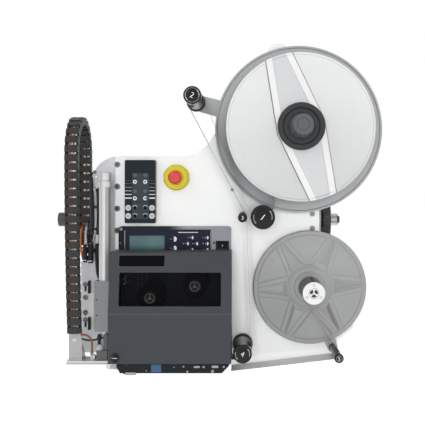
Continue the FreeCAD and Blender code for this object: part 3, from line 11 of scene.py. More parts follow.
import bmesh
import bpy
import numpy as np
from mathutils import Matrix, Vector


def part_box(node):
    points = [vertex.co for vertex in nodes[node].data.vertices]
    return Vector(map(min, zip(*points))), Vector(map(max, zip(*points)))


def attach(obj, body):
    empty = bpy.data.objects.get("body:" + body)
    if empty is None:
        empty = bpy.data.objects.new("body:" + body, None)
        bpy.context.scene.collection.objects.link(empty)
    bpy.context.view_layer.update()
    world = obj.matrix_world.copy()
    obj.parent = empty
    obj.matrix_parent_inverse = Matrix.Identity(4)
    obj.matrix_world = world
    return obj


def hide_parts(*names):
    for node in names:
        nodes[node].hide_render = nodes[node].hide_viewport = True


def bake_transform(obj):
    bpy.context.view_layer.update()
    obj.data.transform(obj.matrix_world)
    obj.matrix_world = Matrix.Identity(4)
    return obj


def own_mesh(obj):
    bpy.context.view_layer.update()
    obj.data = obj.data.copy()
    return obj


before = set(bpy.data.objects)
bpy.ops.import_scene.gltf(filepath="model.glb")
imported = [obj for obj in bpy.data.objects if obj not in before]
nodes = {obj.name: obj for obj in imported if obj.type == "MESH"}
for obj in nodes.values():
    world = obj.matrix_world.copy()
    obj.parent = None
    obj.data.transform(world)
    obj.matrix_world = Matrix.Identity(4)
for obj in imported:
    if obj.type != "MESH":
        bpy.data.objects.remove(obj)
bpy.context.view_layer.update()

# %% [markdown]
# ## Where things are
# All lengths are metres. X runs right, Y away from the camera and Z up, and the origin is on the support
# bar. Depths are easier to think of as "in front of the plate", so one helper turns them into Y.

# %% Named places
MM = 0.001
PLATE_FACE = -0.100
UNWIND = (0.500, 0.199)
REWIND = (0.524, -0.142)
BOW_ANGLE = 107.5
ROLLER_LARGE = (0.4205, 0.0125)
ROLLER_SMALL = (0.379, 0.0115)
ROLLER_MEDIUM = (0.379, -0.265)


def polar(centre, radius, degrees):
    """A point at a radius and an angle from +X about a centre, seen from the front."""
    turn = math.radians(degrees)
    return (centre[0] + radius * math.cos(turn), centre[1] + radius * math.sin(turn))


DANCER_TIP = polar(UNWIND, 0.2297, 165.0)
TAIL_TIP = polar(REWIND, 0.1415, -68.9)


def depth(d):
    """The Y of a place d metres in front of the main plate."""
    return PLATE_FACE - d


print("dancer roller at", [round(v, 4) for v in DANCER_TIP], "tail roller at", [round(v, 4) for v in TAIL_TIP])

# %% [markdown]
# ## Camera
# The photograph is taken square to the plate from about 1.75 m. Perspective is mild, but it shows: the
# front discs look larger and shifted against what lies behind. The picture was cropped off centre, and a
# lens shift reproduces that without turning the camera, so upright edges stay upright.

# %% Set up the camera
CAMERA_DISTANCE = 1.750
METRES_PER_PIXEL = 0.00219
PICTURE_SIDE = 425
AXIS_PIXEL = (244.0, 190.0)
AXIS_PLACE = (0.382, 0.068)
SENSOR = 36.0

view_width = METRES_PER_PIXEL * PICTURE_SIDE
camera_data = bpy.data.cameras.new("camera")
camera_data.sensor_width = SENSOR
camera_data.lens = SENSOR * CAMERA_DISTANCE / view_width
camera_data.shift_x = (PICTURE_SIDE / 2 - AXIS_PIXEL[0]) / PICTURE_SIDE
camera_data.shift_y = (AXIS_PIXEL[1] - PICTURE_SIDE / 2) / PICTURE_SIDE
camera_data.clip_end = 30.0
camera = bpy.data.objects.new("camera", camera_data)
camera.location = (AXIS_PLACE[0], PLATE_FACE - CAMERA_DISTANCE, AXIS_PLACE[1])
camera.rotation_euler = (math.radians(90), 0, 0)
bpy.context.scene.collection.objects.link(camera)
bpy.context.scene.camera = camera
print("lens", round(camera_data.lens, 2), "mm, shift", round(camera_data.shift_x, 4), round(camera_data.shift_y, 4))

# %% [markdown]
# ## Shader maths as expressions
# Node graphs wired by hand are hard to read. A small class that wraps a socket lets the maths be written
# as Python, so `0.3 + 0.2 * grain` adds its Math nodes by itself. Any other node comes from `Graph.node`,
# which takes the node's type, its settings and the values or links of its sockets.


# %% The socket class and the graph
class Wire:
    """A socket that can be added, subtracted, multiplied and divided; each operation is a Math node."""

    def __init__(self, graph, socket):
        self.graph = graph
        self.socket = socket

    def _maths(self, operation, first, second):
        return self.graph.node("ShaderNodeMath", {"operation": operation}, {0: first, 1: second})

    def __add__(self, other):
        return self._maths("ADD", self, other)

    def __radd__(self, other):
        return self._maths("ADD", other, self)

    def __sub__(self, other):
        return self._maths("SUBTRACT", self, other)

    def __rsub__(self, other):
        return self._maths("SUBTRACT", other, self)

    def __mul__(self, other):
        return self._maths("MULTIPLY", self, other)

    def __rmul__(self, other):
        return self._maths("MULTIPLY", other, self)

    def __truediv__(self, other):
        return self._maths("DIVIDE", self, other)

    def __gt__(self, other):
        return self._maths("GREATER_THAN", self, other)

    def __lt__(self, other):
        return self._maths("LESS_THAN", self, other)

    def __abs__(self):
        return self._maths("ABSOLUTE", self, 0.0)


class Graph:
    """A material's node tree with one method that adds any node."""

    def __init__(self, name):
        self.material = bpy.data.materials.new(name)
        self.material.use_nodes = True
        self.tree = self.material.node_tree
        self.shader = self.tree.nodes["Principled BSDF"]
        self.output = self.tree.nodes["Material Output"]

    def node(self, kind, settings=None, inputs=None, out=0):
        """Adds a node: settings first, then the sockets, given as numbers, colours or wires."""
        node = self.tree.nodes.new(kind)
        for key, value in (settings or {}).items():
            if key == "ramp":
                while len(node.color_ramp.elements) < len(value):
                    node.color_ramp.elements.new(0.5)
                for element, (place, colour) in zip(node.color_ramp.elements, value):
                    element.position = place
                    element.color = colour
            else:
                setattr(node, key, value)
        for key, value in (inputs or {}).items():
            self.feed(node.inputs[key], value)
        return Wire(self, node.outputs[out])

    def feed(self, socket, value):
        """Links a wire to a socket, or sets the socket's own value."""
        if isinstance(value, Wire):
            self.tree.links.new(value.socket, socket)
        elif isinstance(value, (tuple, list)) and socket.type == "RGBA":
            socket.default_value = tuple(value) + (1.0,) * (4 - len(value))
        else:
            socket.default_value = value

    def surface(self, **inputs):
        """Sets the shader's sockets by name, with underscores for spaces."""
        for key, value in inputs.items():
            self.feed(self.shader.inputs[key.replace("_", " ")], value)
        return self.material

    def place(self):
        """Object coordinates: metres in the machine's own frame."""
        return self.node("ShaderNodeTexCoord", out=3)

    def stretched(self, scale, centre=(0, 0, 0)):
        """Object coordinates scaled along each axis, about a centre."""
        shift = tuple(-c * s for c, s in zip(centre, scale))
        return self.node("ShaderNodeMapping", None, {"Vector": self.place(), "Scale": scale, "Location": shift})

    def noise(self, vector, scale, detail=4.0, rough=0.5):
        """Noise from 0 to 1."""
        return self.node("ShaderNodeTexNoise", None, {"Vector": vector, "Scale": scale, "Detail": detail,
                                                     "Roughness": rough})

    def ramp(self, value, *stops):
        """A colour ramp of (place, grey or colour) stops."""
        full = [(p, (c, c, c, 1.0) if isinstance(c, float) else tuple(c) + (1.0,)) for p, c in stops]
        return self.node("ShaderNodeValToRGB", {"ramp": full}, {0: value})

    def mix(self, factor, first, second):
        """A colour between two colours."""
        return self.node("ShaderNodeMix", {"data_type": "RGBA"}, {0: factor, 6: first, 7: second}, out=2)

    def bump(self, height, strength, distance):
        """A normal bent by a height."""
        return self.node("ShaderNodeBump", None, {"Strength": strength, "Distance": distance, "Height": height,
                                                 "Normal": self.edges()})

    def edges(self, radius=0.0005):
        """Softly rounded edges, as a normal."""
        return self.node("ShaderNodeBevel", {"samples": 4}, {"Radius": radius})


print("shader helpers ready")

# %% [markdown]
# ## Metal finishes
# Brushed plate is noise stretched a hundredfold along the stroke of the brush: it varies the colour by a
# percent or two, the roughness more, and the height a few microns. Turned parts carry their marks in
# circles, so their noise is read on the distance from the turning axis.


# %% Brushed, turned and painted metal
def shade(colour, factor):
    """A colour made lighter or darker."""
    return tuple(min(1.0, c * factor) for c in colour)


def brushed(name, colour, stroke, metallic=0.75, rough=0.36, contrast=0.05):
    """Sheet metal brushed along the axis with the smallest stroke value: stretched noise in all channels."""
    g = Graph(name)
    grain = g.noise(g.stretched(stroke), 1.0, 6.0, 0.62)
    cloud = g.noise(g.place(), 4.0, 2.0)
    tone = g.mix(grain * 0.7 + cloud * 0.3, shade(colour, 1 - contrast), shade(colour, 1 + contrast))
    return g.surface(Base_Color=tone, Metallic=metallic, Roughness=rough + 0.16 * (grain - 0.5),
                     Normal=g.bump(grain, 0.12, 0.00002))


def turned(name, colour, centre, metallic=0.8, rough=0.3, rings=900.0, contrast=0.06):
    """Metal turned about an axis along Y: noise read on the radius, so the marks are circles."""
    g = Graph(name)
    flat = g.node("ShaderNodeVectorMath", {"operation": "MULTIPLY"},
                  {0: g.node("ShaderNodeVectorMath", {"operation": "SUBTRACT"},
                             {0: g.place(), 1: (centre[0], 0.0, centre[1])}), 1: (1.0, 0.0, 1.0)})
    radius = g.node("ShaderNodeVectorMath", {"operation": "LENGTH"}, {0: flat}, out=1)
    marks = g.node("ShaderNodeTexNoise", {"noise_dimensions": "1D"}, {"W": radius * rings, "Scale": 1.0,
                                                                     "Detail": 3.0})
    cloud = g.noise(g.place(), 9.0, 2.0)
    tone = g.mix(marks * 0.6 + cloud * 0.4, shade(colour, 1 - contrast), shade(colour, 1 + contrast))
    return g.surface(Base_Color=tone, Metallic=metallic, Roughness=rough + 0.2 * (marks - 0.5),
                     Normal=g.bump(marks, 0.10, 0.00002))


def painted(name, colour, rough=0.45, grain_size=1400.0, grain=0.10, metallic=0.0, coat=0.0, speck=0.06, gloss=0.5):
    """Powder coat or moulded plastic: a fine pebble in the height and a faint cloud in the colour."""
    g = Graph(name)
    pebble = g.noise(g.place(), grain_size, 2.0)
    cloud = g.noise(g.place(), 11.0, 3.0)
    tone = g.mix(cloud * 0.6 + pebble * 0.4, shade(colour, 1 - speck), shade(colour, 1 + speck))
    g.surface(Specular_IOR_Level=gloss)
    return g.surface(Base_Color=tone, Metallic=metallic, Roughness=rough + 0.12 * (cloud - 0.5), Coat_Weight=coat,
                     Normal=g.bump(pebble, grain, 0.00005))


VERTICAL = (900.0, 900.0, 9.0)
ALONG_X = (9.0, 900.0, 900.0)

plate_metal = brushed("plate_metal", (0.86, 0.865, 0.87), VERTICAL, metallic=0.15, contrast=0.03)
sub_plate_metal = brushed("sub_plate_metal", (0.64, 0.65, 0.67), VERTICAL, metallic=0.6, contrast=0.05)
bright_steel = brushed("bright_steel", (0.60, 0.60, 0.61), VERTICAL, metallic=0.45, rough=0.26, contrast=0.02)
bar_steel = brushed("bar_steel", (0.065, 0.065, 0.064), ALONG_X, metallic=0.6, rough=0.34)
arm_metal = brushed("arm_metal", (0.42, 0.425, 0.43), (300.0, 300.0, 30.0), metallic=0.5, rough=0.42)
screw_steel = painted("screw_steel", (0.30, 0.30, 0.31), rough=0.3, metallic=0.9)
block_metal = brushed("block_metal", (0.30, 0.305, 0.31), (300.0, 300.0, 30.0), metallic=0.7, rough=0.42)
block_dark = brushed("block_dark", (0.215, 0.22, 0.225), (300.0, 300.0, 30.0), metallic=0.6, rough=0.42)
bracket_metal = brushed("bracket_metal", (0.40, 0.40, 0.405), (700.0, 40.0, 40.0), metallic=0.5, rough=0.4)
sensor_metal = brushed("sensor_metal", (0.68, 0.68, 0.69), (700.0, 40.0, 40.0), metallic=0.5, rough=0.4)
anchor_dark = painted("anchor_dark", (0.030, 0.031, 0.033), rough=0.45, gloss=0.25)
casting_black = painted("casting_black", (0.010, 0.012, 0.015), rough=0.45, grain=0.2, gloss=0.2)
roller_metal = painted("roller_metal", (0.055, 0.055, 0.057), rough=0.30, metallic=0.35, grain=0.02, gloss=0.6)
disc_metal = turned("disc_metal", (0.40, 0.41, 0.42), UNWIND, metallic=0.6, rough=0.42, contrast=0.05)
shaft_metal = painted("shaft_metal", (0.6, 0.6, 0.6), rough=0.25, metallic=0.95)
engine_paint = painted("engine_paint", (0.042, 0.047, 0.056), rough=0.46, metallic=0.1, grain=0.16, speck=0.12,
                       gloss=0.3)
chassis_paint = painted("chassis_paint", (0.075, 0.082, 0.090), rough=0.5, metallic=0.2, grain=0.2)


def two_tone_and_reflection(name, left, right, start, end):
    """Powder coat whose tone runs from one colour to another along X: the bezel's dark frame and blue-grey plate, with
    a soft fade between them that is partly a painted reflection.
    """
    g = Graph(name)
    pebble = g.noise(g.place(), 1200.0, 2.0)
    x = g.node("ShaderNodeSeparateXYZ", None, {0: g.place()})
    across = g.node("ShaderNodeMapRange", {"interpolation_type": "SMOOTHSTEP"},
                    {"Value": x, "From Min": start, "From Max": end})
    # The fade along X is the two plates' own colours, and partly a painted reflection that lightens towards the right.
    tone = g.mix(across, g.mix(pebble, shade(left, 0.9), shade(left, 1.1)),
                 g.mix(pebble, shade(right, 0.95), shade(right, 1.05)))
    g.surface(Specular_IOR_Level=0.25)
    return g.surface(Base_Color=tone, Roughness=0.36 + 0.1 * pebble, Metallic=0.15, Normal=g.bump(pebble, 0.1, 0.00004))


def creased_paint(name, colour, crease_z):
    """Powder coat with a sparkling pebble, and a paler line along the fold of the sheet, a painted highlight where the
    bend catches light.
    """
    g = Graph(name)
    pebble = g.noise(g.place(), 700.0, 3.0, 0.7)
    cloud = g.noise(g.place(), 9.0, 3.0)
    z = g.node("ShaderNodeSeparateXYZ", None, {0: g.place()}, out=2)
    fold_highlight = g.node("ShaderNodeMapRange", {"interpolation_type": "SMOOTHSTEP"},
                  {"Value": abs(z - crease_z), "From Min": 0.0022, "From Max": 0.0006})
    tone = g.mix(pebble * 0.7 + cloud * 0.3, shade(colour, 0.78), shade(colour, 1.22))
    g.surface(Specular_IOR_Level=0.3)
    # Paler along the fold: a painted highlight.
    return g.surface(Base_Color=g.mix(fold_highlight * 0.35, tone, shade(colour, 2.2)), Metallic=0.1,
                     Roughness=0.46 + 0.1 * (cloud - 0.5), Normal=g.bump(pebble, 0.16, 0.00005))


lid_paint = creased_paint("lid_paint", (0.042, 0.047, 0.053), -0.1827)


def round_tube_steel(node):
    """Polished tube with a painted reflection: its tone is read across the tube, dark at both edges, bright left of the
    middle and greyer right of it, the reflection of a room painted into its colour."""
    low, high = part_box(node)
    centre, radius = (low[0] + high[0]) / 2, (high[0] - low[0]) / 2
    g = Graph("tube_painted_reflection")
    x = g.node("ShaderNodeSeparateXYZ", None, {0: g.place()})
    grain = g.noise(g.stretched(VERTICAL), 1.0, 5.0)
    across = (x - centre) / (2 * radius) + 0.5 + 0.02 * (grain - 0.5)
    # Painted reflection: dark edges, a highlight left of the middle and grey to the right, all in the base colour.
    tone = g.ramp(across, (0.02, 0.10), (0.07, 0.62), (0.56, 0.66), (0.66, 0.34), (0.86, 0.42), (0.97, 0.26))
    return g.surface(Base_Color=tone, Metallic=0.35, Roughness=0.26 + 0.1 * grain, Normal=g.bump(grain, 0.1, 0.00002))


tube_painted_reflection = round_tube_steel("air_cylinder")
bezel_paint = two_tone_and_reflection("bezel_paint", (0.010, 0.013, 0.018), (0.29, 0.31, 0.34), 0.215, 0.262)
motor_paint = painted("motor_paint", (0.02, 0.02, 0.022), rough=0.4)
print("metal finishes ready")

# %% [markdown]
# ## Plastic, rubber, pane and paper
# Moulded plastic is the same recipe as powder coat with a finer pebble and no metal. The reel's front
# flange is frosted sheet: light passes, but nothing is seen sharply, so it is given alpha rather than
# refraction and keeps a bright, satin surface.

# %% Plastics, glass and paper
black_plastic = painted("black_plastic", (0.014, 0.014, 0.015), rough=0.38, grain=0.08, gloss=0.25)
hub_black = painted("hub_black", (0.030, 0.031, 0.033), rough=0.40, grain=0.12, gloss=0.3)
grey_plastic = painted("grey_plastic", (0.085, 0.087, 0.090), rough=0.42, grain=0.12)
pale_plastic = painted("pale_plastic", (0.78, 0.78, 0.77), rough=0.4, grain=0.05)
navy_plastic = painted("navy_plastic", (0.008, 0.011, 0.024), rough=0.32, grain=0.04, gloss=0.2)
panel_plastic = painted("panel_plastic", (0.008, 0.013, 0.017), rough=0.36, grain=0.06, gloss=0.2)
panel_face = painted("panel_face", (0.038, 0.050, 0.056), rough=0.5, grain=0.05, gloss=0.2)
carrier_plastic = painted("carrier_plastic", (0.026, 0.026, 0.027), rough=0.44, grain=0.10, gloss=0.3)
yellow_plastic = painted("yellow_plastic", (0.62, 0.52, 0.012), rough=0.36, grain=0.04, coat=0.2)
red_plastic = painted("red_plastic", (0.62, 0.035, 0.030), rough=0.30, grain=0.03, coat=0.35)
platen_rubber = painted("platen_rubber", (0.014, 0.014, 0.014), rough=0.7, grain=0.2)
ribbon_black = painted("ribbon_black", (0.010, 0.010, 0.011), rough=0.28, grain=0.02, coat=0.3)
key_grey = painted("key_grey", (0.10, 0.12, 0.13), rough=0.4, grain=0.05)
paper = painted("paper", (0.68, 0.68, 0.67), rough=0.7, grain_size=500.0, grain=0.06, speck=0.02)
backing_paper = painted("backing_paper", (0.88, 0.87, 0.85), rough=0.6, grain_size=500.0, grain=0.06, speck=0.02)
# The web's front edge: painted shade, so the web seen edge-on shows as a dark line.
web_edge_shade = painted("web_edge_shade", (0.10, 0.10, 0.10), rough=0.8, grain=0.05)
cable_orange = painted("cable_orange", (0.72, 0.16, 0.02), rough=0.45, grain=0.03, coat=0.1)
cable_white = painted("cable_white", (0.72, 0.72, 0.70), rough=0.45, grain=0.03)
hose_black = painted("hose_black", (0.014, 0.014, 0.016), rough=0.35, grain=0.02, gloss=0.3)
hose_pale = painted("hose_pale", (0.50, 0.51, 0.52), rough=0.30, grain=0.02)


def smoked_pane():
    """The lid's window: a dark tinted pane that lets a little of the mechanism through."""
    g = Graph("smoked_pane")
    haze = g.noise(g.place(), 30.0, 2.0)
    g.surface(Specular_IOR_Level=0.06)
    return g.surface(Base_Color=(0.003, 0.003, 0.004), Roughness=0.10 + 0.05 * haze, Alpha=0.38)


def frosted_sheet():
    """The front flange, with painted light and shade: lighter upward and towards the rim, darker near the hub. Along
    and across the bow are dot products of the place with its two directions; its half width falls evenly from hub to
    tip, and the distance inside that edge gives a dark line of painted shade, a band and a floor."""
    g = Graph("frosted_sheet")
    grain = g.noise(g.stretched((700.0, 700.0, 14.0)), 1.0, 5.0, 0.6)
    cloud = g.noise(g.place(), 7.0, 2.0)
    offset = g.node("ShaderNodeVectorMath", {"operation": "SUBTRACT"}, {0: g.place(), 1: (UNWIND[0], 0, UNWIND[1])})
    reach = g.node("ShaderNodeVectorMath", {"operation": "LENGTH"}, {0: offset}, out=1)
    height = g.node("ShaderNodeSeparateXYZ", None, {0: offset}, out=2)
    # Painted light and shade: lighter with height and with distance from the hub.
    pale = grain * 0.25 + cloud * 0.15 + height * 3.0 + (reach - 0.10) * 2.2 + 0.27
    sheet = g.mix(pale, (0.53, 0.535, 0.54), (0.76, 0.765, 0.77))
    lean = math.radians(BOW_ANGLE)
    along = abs(g.node("ShaderNodeVectorMath", {"operation": "DOT_PRODUCT"},
                       {0: offset, 1: (math.cos(lean), 0, math.sin(lean))}, out=1))
    across = abs(g.node("ShaderNodeVectorMath", {"operation": "DOT_PRODUCT"},
                        {0: offset, 1: (-math.sin(lean), 0, math.cos(lean))}, out=1))
    inside = 0.051 - along * (0.0225 / 0.155) - across
    on_bow = inside > 0.0
    floor = g.mix(cloud, (0.56, 0.57, 0.58), (0.62, 0.63, 0.64))
    crest = g.mix(inside > 0.0135, (0.78, 0.78, 0.78), floor)
    tone = g.mix(on_bow, sheet, crest)
    # A dark line along the bow's edge: painted shade of the step there.
    tone = g.mix((inside > -0.0012) * (inside < 0.0008), tone, (0.20, 0.21, 0.22))
    return g.surface(Base_Color=tone, Roughness=0.38 + 0.14 * grain, Alpha=0.93 + 0.07 * on_bow, Metallic=0.1,
                     Normal=g.bump(grain, 0.10, 0.00002))


def pressed_finish():
    """Pressed sheet: fine grain, broad clouds, and a point attribute that holds painted shade: soft dark lines
    along the edges of each pressing, and shade that turns with the direction each pocket faces."""
    g = Graph("pressed_grey")
    ink = g.node("ShaderNodeAttribute", {"attribute_name": "ink"}, out=2)
    cloud = g.noise(g.place(), 8.0, 2.0)
    grain = g.noise(g.place(), 300.0, 3.0)
    tone = g.mix(cloud * 0.8 + grain * 0.2, (0.235, 0.238, 0.24), (0.41, 0.415, 0.42))
    # Darkened by the attribute: painted shade.
    tone = g.mix(ink, tone, (0.06, 0.06, 0.062))
    return g.surface(Base_Color=tone, Metallic=0.45, Roughness=0.40 + 0.1 * (grain - 0.5),
                     Normal=g.bump(grain, 0.06, 0.00002))


def wheel_finish(node):
    """Moulded wheel with a turned metal hub: metal where X is past the rim, black again at the very end."""
    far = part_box(node)[1][0]
    g = Graph("wheel_finish")
    x = g.node("ShaderNodeSeparateXYZ", None, {0: g.place()})
    hub = (x > far - 0.0200) * (x < far - 0.0030)
    grain = g.noise(g.stretched((9.0, 700.0, 700.0)), 1.0, 4.0)
    rim = g.mix(grain, (0.026, 0.026, 0.027), (0.044, 0.044, 0.045))
    return g.surface(Base_Color=g.mix(hub, rim, (0.52, 0.52, 0.53)), Metallic=0.8 * hub, Roughness=0.32 + 0.1 * grain,
                     Normal=g.bump(grain, 0.08, 0.00003))


def foot_finish():
    """Bracket steel; the bar along the bottom is painted brighter, a painted highlight, and one dark line along it is
    painted shade where a groove would be.
    """
    g = Graph("foot_finish")
    grain = g.noise(g.stretched((12.0, 40.0, 900.0)), 1.0, 4.0)
    z = g.node("ShaderNodeSeparateXYZ", None, {0: g.place()}, out=2)
    bar = z < -0.2885
    plate = g.mix(grain, (0.38, 0.38, 0.385), (0.42, 0.42, 0.425))
    bright = g.mix(grain, (0.60, 0.60, 0.60), (0.70, 0.70, 0.70))
    # Painted highlight on the bar, and a line of painted shade along it.
    tone = g.mix(bar, plate, bright)
    tone = g.mix((z < -0.2925) * (z > -0.2945), tone, (0.30, 0.30, 0.305))
    return g.surface(Base_Color=tone, Metallic=0.4, Roughness=0.38 + 0.12 * grain, Normal=g.bump(grain, 0.1, 0.00002))


handwheel_finish = wheel_finish("handwheel")
foot_steel = foot_finish()


def mandrel_finish():
    """Dark anodised tube, and a collar as pale as the disc wherever the radius is past the tube."""
    g = Graph("mandrel_grey")
    offset = g.node("ShaderNodeVectorMath", {"operation": "SUBTRACT"}, {0: g.place(), 1: (REWIND[0], 0, REWIND[1])})
    flat = g.node("ShaderNodeVectorMath", {"operation": "MULTIPLY"}, {0: offset, 1: (1, 0, 1)})
    radius = g.node("ShaderNodeVectorMath", {"operation": "LENGTH"}, {0: flat}, out=1)
    cloud = g.noise(g.place(), 40.0, 2.0)
    tube = g.mix(cloud, (0.10, 0.104, 0.108), (0.14, 0.145, 0.15))
    collar = g.mix(cloud, (0.31, 0.315, 0.32), (0.35, 0.355, 0.36))
    return g.surface(Base_Color=g.mix(radius > 0.0245, tube, collar), Metallic=0.4, Roughness=0.38 + 0.08 * cloud)


mandrel_grey = mandrel_finish()
pressed_grey = pressed_finish()
window_pane = smoked_pane()
flange_sheet = frosted_sheet()
print("plastics ready")

# %% [markdown]
# ## Finishes on the construction's own pieces
# A table from node to finish, one row each. The nodes keep their meshes: only the material slot changes.

# %% Give each node its finish
finishes = {
    "main_plate": plate_metal, "applicator_plate": sub_plate_metal, "fixing_screws": screw_steel,
    "support_bar": bar_steel, "bar_blocks": block_metal, "bearing_housings": block_metal,
    "rewind_motor": motor_paint, "roller_axles": black_plastic, "control_panel": panel_plastic,
    "estop_base": yellow_plastic, "engine_bezel": bezel_paint, "engine_chassis": chassis_paint,
    "display_module": navy_plastic, "engine_base": casting_black, "printhead": block_metal,
    "peel_plate": bright_steel, "air_cylinder": tube_painted_reflection, "cylinder_cap": bright_steel,
    "guide_block": block_dark, "sensor_bracket": sensor_metal, "end_sensors": black_plastic,
    "chain_anchor": anchor_dark, "chain_rear_run": carrier_plastic, "chain_front_run": carrier_plastic,
    "chain_loop": carrier_plastic, "label_web": paper, "backing_web": backing_paper, "unwind_rear_disc": disc_metal,
    "unwind_front_disc": flange_sheet, "unwind_hub": grey_plastic, "hub_ring": hub_black,
    "unwind_shaft": shaft_metal, "unwind_knob": grey_plastic, "rewind_disc": pressed_grey,
    "rewind_mandrel": mandrel_grey, "rewind_end_cap": pale_plastic, "rewind_shaft": shaft_metal,
    "dancer_arm": arm_metal, "dancer_roller": roller_metal, "rewind_arm": arm_metal,
    "rewind_arm_roller": roller_metal, "guide_roller_large": roller_metal, "guide_roller_small": roller_metal,
    "guide_roller_medium": roller_metal, "handwheel": handwheel_finish, "lid": lid_paint,
    "lid_window": window_pane, "lid_latch": black_plastic, "ribbon_supply_spindle": ribbon_black,
    "ribbon_takeup_spindle": ribbon_black, "platen_roller": platen_rubber, "estop_button": red_plastic,
    "power_rocker": black_plastic, "panel_button_1": key_grey, "panel_button_2": key_grey,
    "panel_button_3": key_grey, "panel_button_4": key_grey, "applicator_rods": bright_steel,
    "foot_bar": foot_steel,
}
for name, material in finishes.items():
    slots = nodes[name].data.materials
    slots.clear()
    slots.append(material)
print("finished", len(finishes), "of", len(nodes), "nodes")

# %% [markdown]
# ## Surfaces from arrays
# Every new piece is a function of two parameters sampled on a grid. Three helpers are enough: one turns a
# grid of points into a mesh, one spins a profile about an axis, and one carries a round section along a
# path.


# %% Mesh helpers
def add_mesh(name, points, faces, material, crease=35.0):
    """A mesh object from points and faces: doubles merged, normals turned outwards, smooth below the crease."""
    if isinstance(faces, np.ndarray):
        faces = faces.reshape(-1, faces.shape[-1]).tolist()
    data = bpy.data.meshes.new(name)
    data.from_pydata(points.reshape(-1, 3).tolist(), [], faces)
    work = bmesh.new()
    work.from_mesh(data)
    bmesh.ops.remove_doubles(work, verts=work.verts, dist=1e-6)
    bmesh.ops.dissolve_degenerate(work, dist=1e-7, edges=work.edges)
    bmesh.ops.recalc_face_normals(work, faces=work.faces)
    work.to_mesh(data)
    work.free()
    data.shade_smooth()
    data.set_sharp_from_angle(angle=math.radians(crease))
    data.materials.append(material)
    piece = bpy.data.objects.new(name, data)
    bpy.context.scene.collection.objects.link(piece)
    return piece


def grid_faces(rows, columns, wrap_rows=False, wrap_columns=False):
    """Quads between neighbouring points of a grid, closing it round where asked."""
    r = np.arange(rows if wrap_rows else rows - 1)[:, None]
    c = np.arange(columns if wrap_columns else columns - 1)[None, :]
    r1 = (r + 1) % rows
    c1 = (c + 1) % columns
    return np.stack([r * columns + c, r * columns + c1, r1 * columns + c1, r1 * columns + c], axis=-1)


def lathe_points(profile, centre, count):
    """Points (r cos t, depth, r sin t) about a centre, for each (radius, depth) of a profile and angle t."""
    r = np.array([p[0] for p in profile])[:, None]
    y = depth(np.array([p[1] for p in profile]))[:, None]
    t = np.linspace(0, 2 * np.pi, count, endpoint=False)[None, :]
    return np.stack([centre[0] + r * np.cos(t), y + 0 * t, centre[1] + r * np.sin(t)], axis=-1)


def lathe(name, profile, centre, material, count=96, crease=35.0):
    """A closed profile spun about an axis along Y."""
    points = lathe_points(profile, centre, count)
    return add_mesh(name, points, grid_faces(len(profile), count, wrap_columns=True), material, crease)


def tube_points(path, radius, count):
    """A circle of points round each point of a path, square to its direction; one radius, or one a point."""
    radius = np.asarray(radius, float).reshape(-1, 1, 1)
    path = np.asarray(path, float)
    along = np.gradient(path, axis=0)
    along /= np.linalg.norm(along, axis=1, keepdims=True)
    side = np.cross(along, np.array([0.31, 0.17, 0.93]))
    side /= np.linalg.norm(side, axis=1, keepdims=True)
    up = np.cross(side, along)
    t = np.linspace(0, 2 * np.pi, count, endpoint=False)
    ring = np.cos(t)[None, :, None] * side[:, None, :] + np.sin(t)[None, :, None] * up[:, None, :]
    return path[:, None, :] + radius * ring


def tube(name, path, radius, material, count=14):
    """A round bar along a path, with closed ends."""
    points = tube_points(path, radius, count)
    ends = np.repeat(points.mean(axis=1, keepdims=True)[[0, -1]], count, axis=1)
    points = np.concatenate([ends[:1], points, ends[1:]])
    return add_mesh(name, points, grid_faces(len(points), count, wrap_columns=True), material)


def round_rect(left, right, bottom, top, radius, steps=5):
    """Corner arcs (cos t, sin t) about four inset centres: a rounded rectangle as XZ points."""
    t = np.linspace(0, np.pi / 2, steps)
    corners = [(right, top, 0), (left, top, 1), (left, bottom, 2), (right, bottom, 3)]
    arcs = []
    for x, z, quarter in corners:
        cx = x + radius * (1 if x == left else -1)
        cz = z + radius * (1 if z == bottom else -1)
        angle = t + quarter * np.pi / 2
        arcs.append(np.stack([cx + radius * np.cos(angle), cz + radius * np.sin(angle)], axis=-1))
    return np.concatenate(arcs)


def circle(centre, radius, count=40):
    """Points (r cos t, r sin t) about a centre in XZ."""
    t = np.linspace(0, 2 * np.pi, count, endpoint=False)
    return np.stack([centre[0] + radius * np.cos(t), centre[1] + radius * np.sin(t)], axis=-1)


def band(centre, inner, outer, start, end, steps=24):
    """A ring section in XZ between two radii and two angles in degrees."""
    t = np.radians(np.linspace(start, end, steps))
    ring = np.stack([np.cos(t), np.sin(t)], axis=-1)
    return np.concatenate([centre + outer * ring, centre + inner * ring[::-1]])


def prism(outline, near, far):
    """An outline in XZ carried straight from one depth to another, as points and faces."""
    outline = np.asarray(outline, float)
    count = len(outline)
    points = np.concatenate([np.insert(outline, 1, depth(d), axis=1) for d in (near, far)])
    ring = np.arange(count)
    sides = np.stack([ring, (ring + 1) % count, (ring + 1) % count + count, ring + count], axis=-1)
    return points, sides.tolist() + [ring[::-1].tolist(), (ring + count).tolist()]


def joined(parts):
    """Several (points, faces) parts as one: the faces of each are shifted past the points before it."""
    starts = np.cumsum([0] + [len(points) for points, faces in parts])
    points = np.concatenate([points for points, faces in parts])
    return points, [[int(v) + int(s) for v in face] for (p, faces), s in zip(parts, starts) for face in faces]


def solid(name, parts, material, body, bevel=0.0, crease=35.0):
    """One riding piece from several closed parts, its edges rounded by a Bevel modifier where asked."""
    piece = add_mesh(name, *joined(parts), material, crease)
    if bevel:
        rounding = piece.modifiers.new("rounding", "BEVEL")
        rounding.width = bevel
        rounding.segments = 2
        rounding.limit_method = "ANGLE"
        rounding.harden_normals = True
    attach(piece, body)
    return piece


print("mesh helpers ready")

